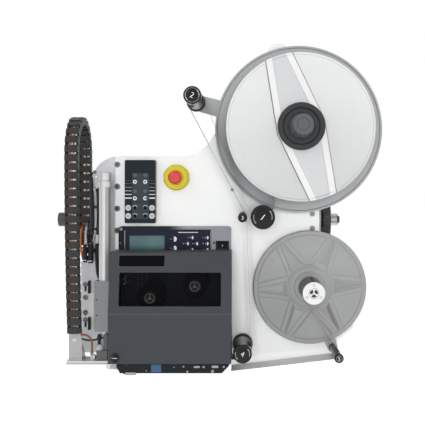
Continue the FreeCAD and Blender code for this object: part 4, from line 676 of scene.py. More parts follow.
# %% [markdown]
# ## Floor, backdrop and light
# The machine was photographed against white. A floor keeps its shadow: an ordinary pale surface, on which
# camera rays see some extra glow, so that only the shadow shows against the white of the world. It lies
# below the foot bar's lowest place, 150 mm under the place at rest. The light is plain: an even world, two
# large soft lamps at the sides and one beside the camera, which fills the shadows on the plate.

# %% Stage and lights
FLOOR = -0.468


def stage_floor():
    """A square grid z = constant, far wider than the object."""
    u = np.linspace(-6.0, 6.0, 13)
    x, y = np.meshgrid(u, u, indexing="ij")
    points = np.stack([x, y, np.full_like(x, FLOOR)], axis=-1)
    g = Graph("stage_white")
    seen = g.node("ShaderNodeLightPath")
    glossy = g.node("ShaderNodeLightPath", out=3)
    glow = g.node("ShaderNodeEmission", None, {"Color": (1, 1, 1), "Strength": 1.45})
    pale = g.node("ShaderNodeBsdfDiffuse", None, {"Color": (0.86, 0.86, 0.86)})
    both = g.node("ShaderNodeMixShader", None, {0: 0.70 * seen + 1.0 * glossy, 1: pale, 2: glow})
    g.feed(g.output.inputs["Surface"], both)
    floor = add_mesh("floor", points, grid_faces(13, 13), g.material)
    return floor


def soft_world(level):
    """A world that lights evenly, and looks white wherever a camera, glossy or clear ray meets it."""
    world = bpy.data.worlds.new("soft_world")
    world.use_nodes = True
    bpy.context.scene.world = world
    tree = world.node_tree
    path = tree.nodes.new("ShaderNodeLightPath")
    background = tree.nodes["Background"]
    background.inputs["Color"].default_value = (1, 1, 1, 1)
    strength = level
    for ray in ("Is Camera Ray", "Is Glossy Ray", "Is Transmission Ray"):
        pick = tree.nodes.new("ShaderNodeMix")
        pick.data_type = "FLOAT"
        pick.inputs[3].default_value = 1.0
        tree.links.new(path.outputs[ray], pick.inputs[0])
        if isinstance(strength, float):
            pick.inputs[2].default_value = strength
        else:
            tree.links.new(strength, pick.inputs[2])
        strength = pick.outputs[0]
    tree.links.new(strength, background.inputs["Strength"])


def soft_lamp(name, place, target, size, watts, mirrored=True):
    """A square area lamp aimed at a point, kept out of reflections where asked."""
    data = bpy.data.lights.new(name, "AREA")
    data.size = size
    data.energy = watts
    lamp = bpy.data.objects.new(name, data)
    lamp.location = place
    aim = Vector(target) - Vector(place)
    lamp.rotation_euler = aim.to_track_quat("-Z", "Y").to_euler()
    lamp.visible_glossy = mirrored
    bpy.context.scene.collection.objects.link(lamp)


stage_floor()
soft_world(0.32)
soft_lamp("lamp_left", (-1.3, -2.2, 1.5), (0.30, -0.1, 0.0), 1.6, 10.5)
soft_lamp("lamp_right", (2.0, -1.9, 1.1), (0.35, -0.1, 0.0), 1.6, 6.5)
soft_lamp("lamp_front", (0.36, -2.9, 0.12), (0.36, -0.1, 0.02), 0.9, 43.0, mirrored=False)
bpy.context.scene.view_settings.view_transform = "Standard"
print("stage and lights ready")
# %% [markdown]
# ## The pressed disc of the rewind reel
# The real disc is sheet metal pressed into six dished pockets with raised ridges between them, which read as
# a star. Booleans would give flat pockets with hard walls. As a height over radius and angle, each
# pocket slopes softly to its floor, and the ridges keep a rounded crown that catches the light.

# %% Press the rewind disc
PETALS = 6
PETAL_FIRST = math.radians(3.0)


def smooth(t):
    """0 below 0, 1 above 1, and 3t² − 2t³ between."""
    t = np.clip(t, 0.0, 1.0)
    return t * t * (3 - 2 * t)


def wedge_edge(r, t):
    """Millimetres outside the outline of the nearest wedge-shaped pocket, negative inside it."""
    pitch = 2 * np.pi / PETALS
    turn = (t - PETAL_FIRST + pitch / 2) % pitch - pitch / 2
    across = np.abs(r * np.sin(turn))
    along = r * np.cos(turn)
    width = 16.5 - 11.0 * (along - 47.0) / 60.5
    edge = np.where(along < 107.5, across - width, np.hypot(along - 107.5, across) - 5.5)
    return np.maximum(edge, 49.0 - along)


def pressed_height(r, t):
    """Millimetres above the sheet: minus a dish inside each wedge, a crown on the ridge beside it, minus a
    shallow panel past the ridge, and a bead at the rim."""
    edge = wedge_edge(r, t)
    dish = -3.3 * smooth(-edge / 9.0)
    crown = 0.7 * np.sin(np.pi * np.clip(edge / 9.0, 0, 1)) * smooth((r - 47) / 4) * smooth((112 - r) / 3)
    panel = -0.9 * smooth((edge - 9.0) / 2.5) * smooth((113 - r) / 2) * smooth((r - 49) / 3)
    rim = 0.6 * smooth((r - 112.5) / 2) - 1.2 * smooth((r - 120.5) / 2)
    groove = -0.8 * np.exp(-((r - 41.0) / 1.2) ** 2)
    return dish + crown + panel + rim + groove


def pressed_shade(r, t):
    """Painted shade on the sheet, 0 to 1: thin bell curves along both edges of each ridge, at the rim and the hub,
    a shade that turns with the direction each pocket faces, and a shade that turns round the whole disc."""
    edge = wedge_edge(r, t)
    on_sheet = smooth((r - 50) / 2) * smooth((113 - r) / 2)
    lines = 0.42 * np.exp(-((edge + 0.6) / 0.9) ** 2) + 0.34 * np.exp(-((edge - 9.0) / 0.8) ** 2)
    rings = 0.22 * np.exp(-((r - 113.0) / 0.8) ** 2) + 0.20 * np.exp(-((r - 48.0) / 1.0) ** 2)
    pocket = smooth(-edge / 6.0) * (0.10 + 0.14 * np.cos(t - 0.2))
    return np.clip(lines * on_sheet + rings + pocket * on_sheet + 0.10 * np.cos(t - 3.9), 0.0, 1.0)


def pressed_disc():
    """Rows run out along the front, round the rim and back along a flat rear; columns run round."""
    front = np.concatenate([np.linspace(8, 46, 16), np.linspace(47, 122.5, 110)])
    back = np.array([122.5, 90.0, 50.0, 8.0])
    t = np.linspace(0, 2 * np.pi, 432, endpoint=False)[None, :]
    r = np.concatenate([front, back])[:, None]
    height = np.where(np.arange(len(r))[:, None] < len(front), 23.0 + pressed_height(r, t), 18.0)
    points = np.stack([REWIND[0] + MM * r * np.cos(t), depth(MM * height), REWIND[1] + MM * r * np.sin(t)], axis=-1)
    piece = add_mesh("pressed_disc", points, grid_faces(len(r), 432, True, True), pressed_grey, crease=50)
    spots = np.empty(len(piece.data.vertices) * 3)
    piece.data.vertices.foreach_get("co", spots)
    x, z = spots[0::3] - REWIND[0], spots[2::3] - REWIND[1]
    # The attribute holds painted shade for the material to darken by.
    ink = piece.data.attributes.new("ink", "FLOAT", "POINT")
    ink.data.foreach_set("value", pressed_shade(np.hypot(x, z) / MM, np.arctan2(z, x)))
    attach(piece, "rewind_reel")
    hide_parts("rewind_disc")
    return piece


print("pressed disc faces", len(pressed_disc().data.polygons))

# %% [markdown]
# ## The end of the rewind mandrel
# The pale end cap has a dished middle with a three-armed boss, and three small screws round it.

# %% Openings and screws of the end cap
CAP_FRONT = 0.130
CAP_FLOOR = 0.1285
opening_shade = painted("opening_shade", (0.030, 0.030, 0.031), rough=0.5, grain=0.05)
cup_shade_and_screw_outlines = painted("cup_shade_and_screw_outlines", (0.42, 0.42, 0.42), rough=0.4, grain=0.05)
hub_spot = np.array(REWIND)
# Dark discs in the three openings: painted shade of their depth.
openings = [prism(band(hub_spot, 0.0024, 0.0082, a - 42, a + 42, 12), CAP_FLOOR, CAP_FLOOR + 0.0003)
            for a in (30, 150, 270)]
solid("end_cap_openings", openings, opening_shade, "rewind_reel")
# A grey ring round the cup, painted shade of its wall, and thin rings outlining the three screws.
cup = [prism(band(hub_spot, 0.0099, 0.0110, 0, 359.9, 48), CAP_FRONT - 0.0004, CAP_FRONT + 0.0002)]
cup += [prism(band(np.array(polar(REWIND, 0.0165, a)), 0.0017, 0.0026, 0, 359.9, 20), CAP_FRONT - 0.0004, CAP_FRONT + 0.0002)
        for a in (90, 210, 330)]
solid("end_cap_rings", cup, cup_shade_and_screw_outlines, "rewind_reel")
print("end cap openings", len(openings))

# %% [markdown]
# ## Numbers on the roller caps
# Each roller wears a glossy black cap with a plain number, so that whoever threads the web knows the order.
# The caps are spun from a rounded profile, and the figures are font curves made into thin meshes. Small
# arrows beside them show which way the web runs.

# %% Roller caps, figures and arrows
cap_black = painted("cap_black", (0.007, 0.007, 0.008), rough=0.22, grain=0.02, gloss=0.25)
figure_white = painted("figure_white", (0.80, 0.80, 0.79), rough=0.5, grain=0.04)
arrow_grey = painted("arrow_grey", (0.42, 0.42, 0.42), rough=0.5, grain=0.04)


def cap_cover(name, centre, radius, front, body):
    """A moulded cap: a flat face, a rounded shoulder and a short skirt over the turned end."""
    t = np.linspace(0, np.pi / 2, 7)
    edge = [(radius - 0.0020 + 0.0022 * math.sin(a), front - 0.0020 + 0.0023 * math.cos(a)) for a in t]
    profile = [(0.0, front + 0.0003), (radius - 0.0045, front + 0.0003), (radius - 0.0038, front - 0.0001)] + edge
    profile += [(radius + 0.0002, front - 0.0089), (0.0, front - 0.0089)]
    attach(lathe(name, profile, centre, cap_black, 72, 30), body)


def figure(name, text, centre, height, front, body, lean):
    """A font curve of one figure, made a mesh, centred on a place, turned by some degrees, facing the front."""
    curve = bpy.data.curves.new(name, "FONT")
    curve.body = text
    curve.extrude = 0.00008
    holder = bpy.data.objects.new(name + "_curve", curve)
    data = bpy.data.meshes.new_from_object(holder)
    flat = np.empty(len(data.vertices) * 3)
    data.vertices.foreach_get("co", flat)
    flat = flat.reshape(-1, 3)
    flat[:, :2] -= (flat[:, :2].min(axis=0) + flat[:, :2].max(axis=0)) / 2
    scale = height / (flat[:, 1].max() - flat[:, 1].min())
    cos, sin = scale * math.cos(math.radians(lean)), scale * math.sin(math.radians(lean))
    placed = np.stack([centre[0] + cos * flat[:, 0] - sin * flat[:, 1], depth(front + 0.0003 + flat[:, 2]),
                       centre[1] + sin * flat[:, 0] + cos * flat[:, 1]], axis=-1)
    faces = [list(face.vertices) for face in data.polygons]
    bpy.data.objects.remove(holder)
    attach(add_mesh(name, placed, faces, figure_white), body)


def arrow(centre, radius, start, end, width):
    """A curved arrow: a ring section, and a head whose point lies on the same circle."""
    sense = 1 if end > start else -1
    shaft = band(np.array(centre), radius - width / 2, radius + width / 2, start, end, 12)
    tip = polar(centre, radius, end + sense * math.degrees(2.4 * width / radius))
    head = np.array([polar(centre, radius - 1.5 * width, end), polar(centre, radius + 1.5 * width, end), tip])
    return shaft, head


caps = [("1", ROLLER_LARGE, 0.0247, 0.1233, "frame", 0.0125, -38.0),
        ("2", DANCER_TIP, 0.0180, 0.1503, "dancer", 0.0105, -30.0),
        ("3", ROLLER_SMALL, 0.0093, 0.1233, "frame", 0.0070, 0.0),
        ("4", ROLLER_MEDIUM, 0.0190, 0.1303, "frame", 0.0100, -20.0),
        ("5", TAIL_TIP, 0.0093, 0.1303, "rewind_dancer", 0.0070, 0.0)]
sleeve_grey = painted("sleeve_grey", (0.10, 0.10, 0.103), rough=0.34, metallic=0.3, grain=0.04, gloss=0.5)
for name, centre, radius, near, far, body in (("sleeve_2", DANCER_TIP, 0.0174, 0.030, 0.1413, "dancer_roller"),
                                              ("sleeve_4", ROLLER_MEDIUM, 0.0184, 0.030, 0.1213, "medium_roller")):
    profile = [(0.0152, near), (radius - 0.0006, near), (radius, near + 0.0006), (radius, far - 0.0006),
               (radius - 0.0006, far), (0.0152, far)]
    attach(lathe(name, profile, centre, sleeve_grey), body)
for text, centre, radius, front, body, height, lean in caps:
    cap_cover("roller_cap_" + text, centre, radius, front, body)
    figure("figure_" + text, text, centre, height, front, body, lean)
    if radius > 0.015:
        marks = [arrow(centre, radius * 0.76, 165, 215, 0.0012), arrow(centre, radius * 0.76, -15, 35, 0.0012)]
        parts = [prism(outline, front + 0.0003, front + 0.00045) for mark in marks for outline in mark]
        solid("arrows_" + text, parts, arrow_grey, body)
print("capped", len(caps), "rollers")
# %% [markdown]
# ## The cable carrier
# The carrier is a chain of moulded links with cables inside. Links placed one by one as objects would be
# fifty objects; here one link is a small array of points, and the whole chain is that array carried to
# every place of a path at once. The carrier has three parts, because the bend rolls as the applicator
# travels: the front run stretches between applicator and bend, and the rear run shortens.

# %% One link, carried along a path
CARRIER_X = 0.028
LOOP_CENTRE = (0.036, 0.144)
LOOP_RADIUS = 0.071
PITCH = 0.018
cable_grey = painted("cable_grey", (0.34, 0.34, 0.34), rough=0.45, grain=0.03)


def plate_outline(half, tall):
    """A side plate seen from the side: a bar with round ends, waisted in the middle."""
    t = np.linspace(-np.pi / 2, np.pi / 2, 7)
    right = np.stack([half - tall * (1 - np.cos(t)) * 0.55, tall * np.sin(t)], axis=-1)
    return np.concatenate([right, -right])


def side_slab(outline, near, far):
    """An (along, normal) outline carried across the chain from one offset to another."""
    count = len(outline)
    flat = outline[:, ::-1]
    points = np.concatenate([np.insert(flat, 0, x, axis=1) for x in (near, far)])
    ring = np.arange(count)
    sides = np.stack([ring, (ring + 1) % count, (ring + 1) % count + count, ring + count], axis=-1)
    return points, sides.tolist() + [ring[::-1].tolist(), (ring + count).tolist()]


def link_parts():
    """Points as (across, normal, along) and faces of one link: two side plates, two bars and four pivots."""
    half = PITCH / 2 - 0.0002
    parts = []
    for side in (-1, 1):
        plate = plate_outline(half, 0.0084)
        parts.append(side_slab(plate, side * 0.0096, side * 0.0139))
        t = np.linspace(0, 2 * np.pi, 12, endpoint=False)
        pivot = np.stack([half + 0.0034 * np.cos(t), 0.0034 * np.sin(t)], axis=-1)
        parts.append(side_slab(pivot, side * 0.0105, side * 0.0143))
    for low, high in ((0.0058, 0.0087), (-0.0087, -0.0058)):
        parts.append(bar_part((-0.0098, low, -0.0072), (0.0098, high, 0.0072)))
        outer = 0.0087 if low > 0 else -0.0087
        for x in (-0.0085, 0.0085):
            parts.append(bar_part((x - 0.0015, min(outer, outer * 1.04), -0.0035),
                                  (x + 0.0015, max(outer, outer * 1.04), 0.0035)))
    return joined(parts)


def bar_part(low, high):
    """A box from its low and high corners: low + corner · (high − low), with faces outwards."""
    corner = np.array([[x, y, z] for x in (0, 1) for y in (0, 1) for z in (0, 1)], float)
    faces = [[0, 1, 3, 2], [4, 6, 7, 5], [0, 4, 5, 1], [2, 3, 7, 6], [0, 2, 6, 4], [1, 5, 7, 3]]
    return np.array(low) + corner * (np.array(high) - np.array(low)), faces


def spaced(path, places):
    """Points and directions of a (depth, Z) path at given fractions of its length."""
    path = np.asarray(path)
    steps = np.concatenate([[0], np.cumsum(np.linalg.norm(np.diff(path, axis=0), axis=1))])
    at = np.asarray(places) * steps[-1]
    spot = np.stack([np.interp(at, steps, path[:, i]) for i in (0, 1)], axis=-1)
    ahead = np.stack([np.interp(at + 1e-4, steps, path[:, i]) for i in (0, 1)], axis=-1)
    behind = np.stack([np.interp(at - 1e-4, steps, path[:, i]) for i in (0, 1)], axis=-1)
    along = ahead - behind
    return spot, along / np.linalg.norm(along, axis=1, keepdims=True)


def carried(points, spot, along):
    """Each link point (across, normal, along) set at each place: place + normal · n + along · a, as arrays."""
    normal = np.stack([-along[:, 1], along[:, 0]], axis=-1)
    flat = spot[:, None] + points[None, :, 1:2] * normal[:, None] + points[None, :, 2:3] * along[:, None]
    across = np.broadcast_to(points[None, :, 0], flat.shape[:2])
    return np.stack([CARRIER_X + across, depth(flat[..., 0]), flat[..., 1]], axis=-1)


def carrier_section(name, path, count):
    """All links of one section as a single mesh."""
    points, faces = link_parts()
    spot, along = spaced(path, (np.arange(count) + 0.5) / count)
    placed = carried(points, spot, along).reshape(-1, 3)
    every = [[v + len(points) * link for v in face] for link in range(count) for face in faces]
    piece = add_mesh(name, placed, every, carrier_plastic, 30)
    rounding = piece.modifiers.new("rounding", "BEVEL")
    rounding.width = 0.0004
    rounding.segments = 1
    rounding.limit_method = "ANGLE"
    return piece


def cable_section(name, path, x, normal, radius, material):
    """A cable inside the carrier: a tube that follows the path at an offset across and along the normal."""
    spot, along = spaced(path, np.linspace(0.0, 1.0, 40))
    route = carried(np.array([[x, normal, 0.0]]), spot, along)[:, 0]
    return tube(name, route, radius, material, 10)


print("link has", len(link_parts()[1]), "faces")

# %% [markdown]
# ## Three sections of the carrier
# The front run is nearly straight and leans forward by 27 mm over its height, the bend is half a circle,
# and the rear run hangs straight behind. Cables lie side by side in the links, and show in the slots.

# %% Lay the carrier along its path
turn = np.linspace(0, 1, 60)
front_sag = (0.375 ** 2 + 0.027 ** 2) / (2 * 0.027)
front_turn = math.asin(0.375 / front_sag) * (1 - turn)
front_path = np.stack([0.107 - front_sag * (1 - np.cos(front_turn)), 0.143 - front_sag * np.sin(front_turn)], axis=-1)
half_turn = np.stack([LOOP_CENTRE[0] + LOOP_RADIUS * np.cos(np.pi * turn),
                      LOOP_CENTRE[1] + LOOP_RADIUS * np.sin(np.pi * turn)], axis=-1)
loop_path = np.concatenate([[(0.107, 0.1425)], half_turn, [(-0.035, 0.1425)]])
rear_path = np.stack([np.full(60, -0.035), 0.143 - 0.169 * turn], axis=-1)
cables = [("orange", -0.0048, 0.0, 0.0025, cable_orange), ("grey", 0.0010, -0.003, 0.0024, cable_grey),
          ("white", 0.0064, 0.001, 0.0024, cable_white), ("black", -0.0093, 0.0, 0.0019, hose_black)]


def follow(piece, section):
    """Where each section goes: the front run baked in place, the bend riding on the chain loop, the rear run riding on
    the frame with a mesh of its own.
    """
    if section == "front":
        depth(0.080)
        depth(0.107)
        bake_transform(piece)
    elif section == "bend":
        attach(piece, "chain_loop")
    else:
        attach(piece, "frame")
        depth(-0.035)
        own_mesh(piece)


sections = [("front", front_path, 21, "chain_front_run"), ("bend", loop_path, 12, "chain_loop"),
            ("rear", rear_path, 9, "chain_rear_run")]
for section, path, count, node in sections:
    links = carrier_section("carrier_" + section, path, count)
    follow(links, section)
    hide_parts(node)
    for colour, x, normal, radius, material in cables:
        follow(cable_section(f"cable_{colour}_{section}", path, x, normal, radius, material), section)
print("carrier links", sum(row[2] for row in sections))
# %% [markdown]
# ## The label web and the backing web
# Paper in a web machine is never free: it is stretched between rollers, straight between them and wrapped
# round each. So its path is worked out, not simulated: lines that touch two circles, and arcs between.
# The strip is that path carried over the web's width. Where a web passes a swinging arm it is cut into
# pieces at the rollers: the supply and feed runs ride on the frame, the wound run on the rewind arm, and the
# dancer loop and the waste run are fixed where they lie.

# %% A strip round rollers
WEB_BACK = 0.0345
WEB_FRONT = 0.0915


def tangent_points(first, second):
    """Where a strip leaves one circle and meets the next. Each circle is (x, z, radius, turn), turn +1 being
    anticlockwise: the line leans from the centres' line by the angle whose sine is the signed radii's gap."""
    (x0, z0, r0, s0), (x1, z1, r1, s1) = first, second
    away = math.atan2(z1 - z0, x1 - x0)
    gap = math.hypot(x1 - x0, z1 - z0)
    lean = math.asin((s0 * r0 - s1 * r1) / gap)
    angle = away + lean - math.pi / 2
    side = np.array([math.cos(angle), math.sin(angle)])
    return np.array([x0, z0]) + s0 * r0 * side, np.array([x1, z1]) + s1 * r1 * side


def web_path(circles, close_in=0.006):
    """Straight runs sampled evenly, joined by arcs about each circle between."""
    runs = [tangent_points(a, b) for a, b in zip(circles, circles[1:])]
    path = []
    for index, (leave, meet) in enumerate(runs):
        count = max(3, int(np.linalg.norm(meet - leave) / close_in))
        path.append(leave + np.linspace(0, 1, count)[:, None] * (meet - leave))
        if index + 1 < len(runs):
            x, z, radius, sense = circles[index + 1]
            start = math.atan2(meet[1] - z, meet[0] - x)
            end = math.atan2(runs[index + 1][0][1] - z, runs[index + 1][0][0] - x)
            sweep = sense * ((end - start) * sense % (2 * math.pi))
            t = start + np.linspace(0, 1, 18)[1:-1] * sweep
            path.append(np.stack([x + radius * np.cos(t), z + radius * np.sin(t)], axis=-1))
    return np.concatenate(path)


def strip(name, path, material, thick=0.0005):
    """The path carried from the web's back to its front, with the paper's thickness on both sides. The front
    edge, painted dark as shade so the web seen edge-on shows as a line, is every face between the second and third
    column."""
    along = np.gradient(path, axis=0)
    along /= np.linalg.norm(along, axis=1, keepdims=True)
    normal = np.stack([-along[:, 1], along[:, 0]], axis=-1) * thick / 2
    section = np.stack([path + normal, path + normal, path - normal, path - normal], axis=1)
    y = depth(np.array([WEB_BACK, WEB_FRONT, WEB_FRONT, WEB_BACK]))
    points = np.stack([section[..., 0], np.broadcast_to(y, section.shape[:2]), section[..., 1]], axis=-1)
    faces = grid_faces(len(path), 4, wrap_columns=True).reshape(-1, 4).tolist()
    last = 4 * (len(path) - 1)
    faces += [[3, 2, 1, 0], [last, last + 1, last + 2, last + 3]]
    piece = add_mesh(name, points, faces, material, 40)
    piece.data.materials.append(web_edge_shade)
    edge_y = depth(WEB_FRONT)
    for face in piece.data.polygons:
        face.material_index = int(abs(face.center.y - edge_y) < 1e-5)
    return piece


LIFT = 0.0005
dancer_x, dancer_z = DANCER_TIP
label_circles = [(UNWIND[0], UNWIND[1], 0.0377 + LIFT, 1), (0.4205, 0.0125, 0.0195 + LIFT, -1),
                 (dancer_x, dancer_z, 0.0174 + LIFT, 1), (0.379, 0.0115, 0.0075 + LIFT, -1),
                 (0.379, -0.265, 0.0184 + LIFT, -1), (0.355, -0.284, 0.0005, 1)]
tail_x, tail_z = TAIL_TIP
backing_circles = [(0.355, -0.307, 0.0005, 1), (tail_x, tail_z, 0.0075 + LIFT, 1),
                   (REWIND[0], REWIND[1], 0.023 + LIFT, -1)]


def nearest(path, place):
    """The index of the path's point nearest to a place."""
    return int(np.argmin(np.linalg.norm(path - np.array(place), axis=1)))


label_path = web_path(label_circles)
first = nearest(label_path, tangent_points(label_circles[1], label_circles[2])[0])
second = nearest(label_path, tangent_points(label_circles[2], label_circles[3])[1])
supply = strip("web_supply", label_path[:first + 1], paper)
loop = strip("web_dancer_loop", label_path[first:second + 1], paper)
feed = strip("web_feed", label_path[second:], paper)
for piece in (supply, feed):
    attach(piece, "frame")
depth(0.063)
dancer_x + 0.006
depth(0.063)
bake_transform(loop)
backing_path = web_path(backing_circles)
bend = nearest(backing_path, tangent_points(backing_circles[0], backing_circles[1])[1])
waste = strip("web_waste_run", backing_path[:bend + 1], backing_paper)
depth(0.063)
tail_x - 0.006
depth(0.063)
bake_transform(waste)
wound = strip("web_wound_run", backing_path[bend:], backing_paper)
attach(wound, "rewind_dancer")
for piece in (supply, loop, feed):
    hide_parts("label_web")
for piece in (waste, wound):
    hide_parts("backing_web")
print("label web", round(float(np.linalg.norm(np.diff(label_path, axis=0), axis=1).sum()), 3), "m")
# %% [markdown]
# ## The print engine's face
# What makes an instrument read as real is small: a screen set below its frame, raised keys, a silver line,
# screws with sockets. Each is an outline in the plane of the plate, carried a little way in depth, with a
# Bevel modifier where an edge would catch light.

# %% Screen, keys and trim of the display
silver = painted("silver", (0.62, 0.62, 0.63), rough=0.25, metallic=0.9)
zinc = painted("zinc", (0.34, 0.34, 0.345), rough=0.35, metallic=0.7)
print_and_highlight_white = painted("print_and_highlight_white", (0.78, 0.80, 0.84), rough=0.45, grain=0.03)
key_gloss = painted("key_gloss", (0.022, 0.028, 0.055), rough=0.22, grain=0.02, gloss=0.35)


def screen_glass():
    """Grey-green liquid crystal: a faint upright band of painted light, and painted shade at the top edge."""
    g = Graph("screen_glass")
    x = g.node("ShaderNodeSeparateXYZ", None, {0: g.place()})
    z = g.node("ShaderNodeSeparateXYZ", None, {0: g.place()}, out=2)
    light = g.node("ShaderNodeMapRange", {"interpolation_type": "SMOOTHSTEP"},
                   {"Value": abs(x - 0.186), "From Min": 0.030, "From Max": 0.0})
    top = g.node("ShaderNodeMapRange", None, {"Value": z, "From Min": -0.036, "From Max": -0.031})
    lines = g.noise(g.stretched((20.0, 20.0, 2400.0)), 1.0, 2.0)
    # Painted light in the upright band, painted shade at the top.
    tone = g.mix(light * 0.6 + lines * 0.25, (0.048, 0.116, 0.122), (0.074, 0.156, 0.158))
    return g.surface(Base_Color=g.mix(top * 0.5, tone, (0.03, 0.07, 0.07)), Roughness=0.12 + 0.05 * lines,
                     Coat_Weight=0.3)


solid("screen", [prism(round_rect(0.1330, 0.2093, -0.0740, -0.0310, 0.0012), 0.0119, 0.0125)], screen_glass(), "frame")
solid("display_line", [prism(round_rect(0.2388, 0.2821, -0.0250, -0.0232, 0.0006), 0.0144, 0.0149)], silver, "frame")
edges = [prism(round_rect(x, x + 0.0009, -0.0780, -0.0200, 0.0003), 0.0138, 0.0143) for x in (0.1226, 0.3094)]
solid("display_edges", edges, silver, "frame")
key_places = [(0.2306, -0.0385), (0.2306, -0.0585), (0.268, -0.0355), (0.258, -0.0485), (0.278, -0.0485),
              (0.268, -0.0615), (0.3007, -0.0355), (0.3007, -0.0485), (0.3007, -0.0615)]
cap_profile = [(0.0, 0.0140), (0.0047, 0.0140), (0.0047, 0.0150), (0.0041, 0.0157), (0.0024, 0.0161), (0.0, 0.0162)]
for number, centre in enumerate(key_places):
    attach(lathe(f"display_key_{number + 1}", cap_profile, centre, key_gloss, 32, 50), "frame")
marks = []
for number, centre in enumerate(key_places):
    centre = np.array(centre)
    inner, outer, reach = (0.0004, 0.0056, 100) if number < 2 else (0.0012, 0.0044, 62)
    # The crescent on each key's right half is a painted highlight of the glossy dome; the dot and the bar beside the
    # key are print.
    marks.append(prism(band(centre, inner, outer, -reach, reach, 14), 0.0160, 0.01625))
    marks.append(prism(circle(centre - (0.0022, 0.0), 0.0007, 12), 0.0160, 0.01625))
    marks.append(prism(round_rect(centre[0] - 0.0085, centre[0] - 0.0062, centre[1] - 0.0004,
                                  centre[1] + 0.0004, 0.0002, 3), 0.0140, 0.0142))
solid("key_marks_and_highlights", marks, print_and_highlight_white, "frame")
rocker_marks = [prism(round_rect(0.3344, 0.3356, -0.0555, -0.0500, 0.0004, 3), 0.0140, 0.0152)]
solid("rocker_mark", rocker_marks, print_and_highlight_white, "power_rocker")
surround = [prism(outline, 0.0119, 0.0132) for outline in
            (round_rect(0.3205, 0.3228, -0.0745, -0.0425, 0.0008), round_rect(0.3472, 0.3495, -0.0745, -0.0425, 0.0008),
             round_rect(0.3205, 0.3495, -0.0450, -0.0425, 0.0008), round_rect(0.3205, 0.3495, -0.0745, -0.0720, 0.0008))]
solid("rocker_surround", surround, black_plastic, "frame", bevel=0.0003)
print("display keys", len(key_places))

# %% [markdown]
# ## Screws
# A flush screw is a cone with a socket, and what the eye sees is the dark gap round the head and the hole
# in its middle. One profile turned about an axis makes ring, head and round socket; it is put at all
# places as one piece.


# %% Screw heads with sockets
def screw_faces(places, radius, front):
    """Head profiles as parts: a rim just proud of the surface, a flat face, and a socket with a floor."""
    profile = [(0.0, front - 0.0009), (0.42 * radius, front - 0.0009), (0.46 * radius, front + 0.00018),
               (0.86 * radius, front + 0.00022), (0.97 * radius, front + 0.00010), (radius, front - 0.0010),
               (0.0, front - 0.0012)]
    return [(lathe_points(profile, place, 24).reshape(-1, 3), grid_faces(len(profile), 24, wrap_columns=True)
             .reshape(-1, 4).tolist()) for place in places]


def socket_discs(places, radius, front):
    """Six-sided floors that fill the sockets; in the dark finish they are painted shade inside each socket."""
    return [prism(circle(place, 0.47 * radius, 6), front - 0.0002, front + 0.0003) for place in places]


head_grey = painted("head_grey", (0.22, 0.22, 0.23), rough=0.32, metallic=0.8, grain=0.05)
socket_dark = painted("socket_dark", (0.02, 0.02, 0.021), rough=0.5, grain=0.05)
seam_places = [(0.1045, 0.1238 - 0.0482 * step) for step in range(4)]
solid("seam_screw_heads", screw_faces(seam_places, 0.0058, 0.0), head_grey, "frame")
solid("seam_screw_sockets", socket_discs(seam_places, 0.0058, 0.0), socket_dark, "frame")
solid("seam_screw_gaps", [prism(band(np.array(place), 0.0057, 0.0065, 0, 359.9, 40), -0.0005, 0.00008)
                          for place in seam_places], socket_dark, "frame")
bezel_places = [(0.349, -0.017), (0.317, -0.047), (0.1126, -0.048), (0.115, -0.017)]
screw_dark = painted("screw_dark", (0.10, 0.10, 0.105), rough=0.35, metallic=0.4, grain=0.05)
solid("bezel_screw_heads", screw_faces(bezel_places, 0.0030, 0.0120), screw_dark, "frame")
solid("bezel_screw_sockets", socket_discs(bezel_places, 0.0030, 0.0120), socket_dark, "frame")
print("screws", len(seam_places) + len(bezel_places))

# %% [markdown]
# ## Inside the lid's window
# Behind the smoked pane lie two rolls of ribbon on their spindles, in a black bay. Only glints of them are
# seen, so the bay must be dark and the rolls glossy. A lining closes the bay at the back, as the real
# engine's wall does.

# %% The bay, the ribbon rolls and their hubs
bay_black = painted("bay_black", (0.034, 0.039, 0.044), rough=0.5, grain=0.1, speck=0.4, gloss=0.1)
ribbon_gloss = painted("ribbon_gloss", (0.003, 0.003, 0.004), rough=0.25, grain=0.02, gloss=0.08)
hub_grey = painted("hub_grey", (0.40, 0.41, 0.42), rough=0.35, metallic=0.3)
lining = [prism(round_rect(0.1185, 0.3445, -0.2990, -0.0895, 0.003), 0.0121, 0.0140)]
solid("bay_lining", lining, bay_black, "frame", bevel=0.0003)
ribs = [prism(round_rect(x, x + 0.0014, -0.2960, -0.0925, 0.0005), 0.0140, 0.0165) for x in (0.151, 0.159, 0.1705)]
rib_grey = painted("rib_grey", (0.12, 0.125, 0.13), rough=0.45)
solid("bay_ribs", ribs, rib_grey, "frame")
catch = [prism(round_rect(0.1310, 0.1368, -0.1285, -0.1250, 0.0008), 0.0140, 0.0950),
         prism(round_rect(0.1350, 0.1364, -0.1240, -0.1080, 0.0005), 0.0140, 0.0930),
         prism(round_rect(0.1300, 0.1318, -0.1180, -0.1155, 0.0006), 0.0140, 0.0940)]
solid("bay_catch", catch, hub_grey, "frame", bevel=0.0003)


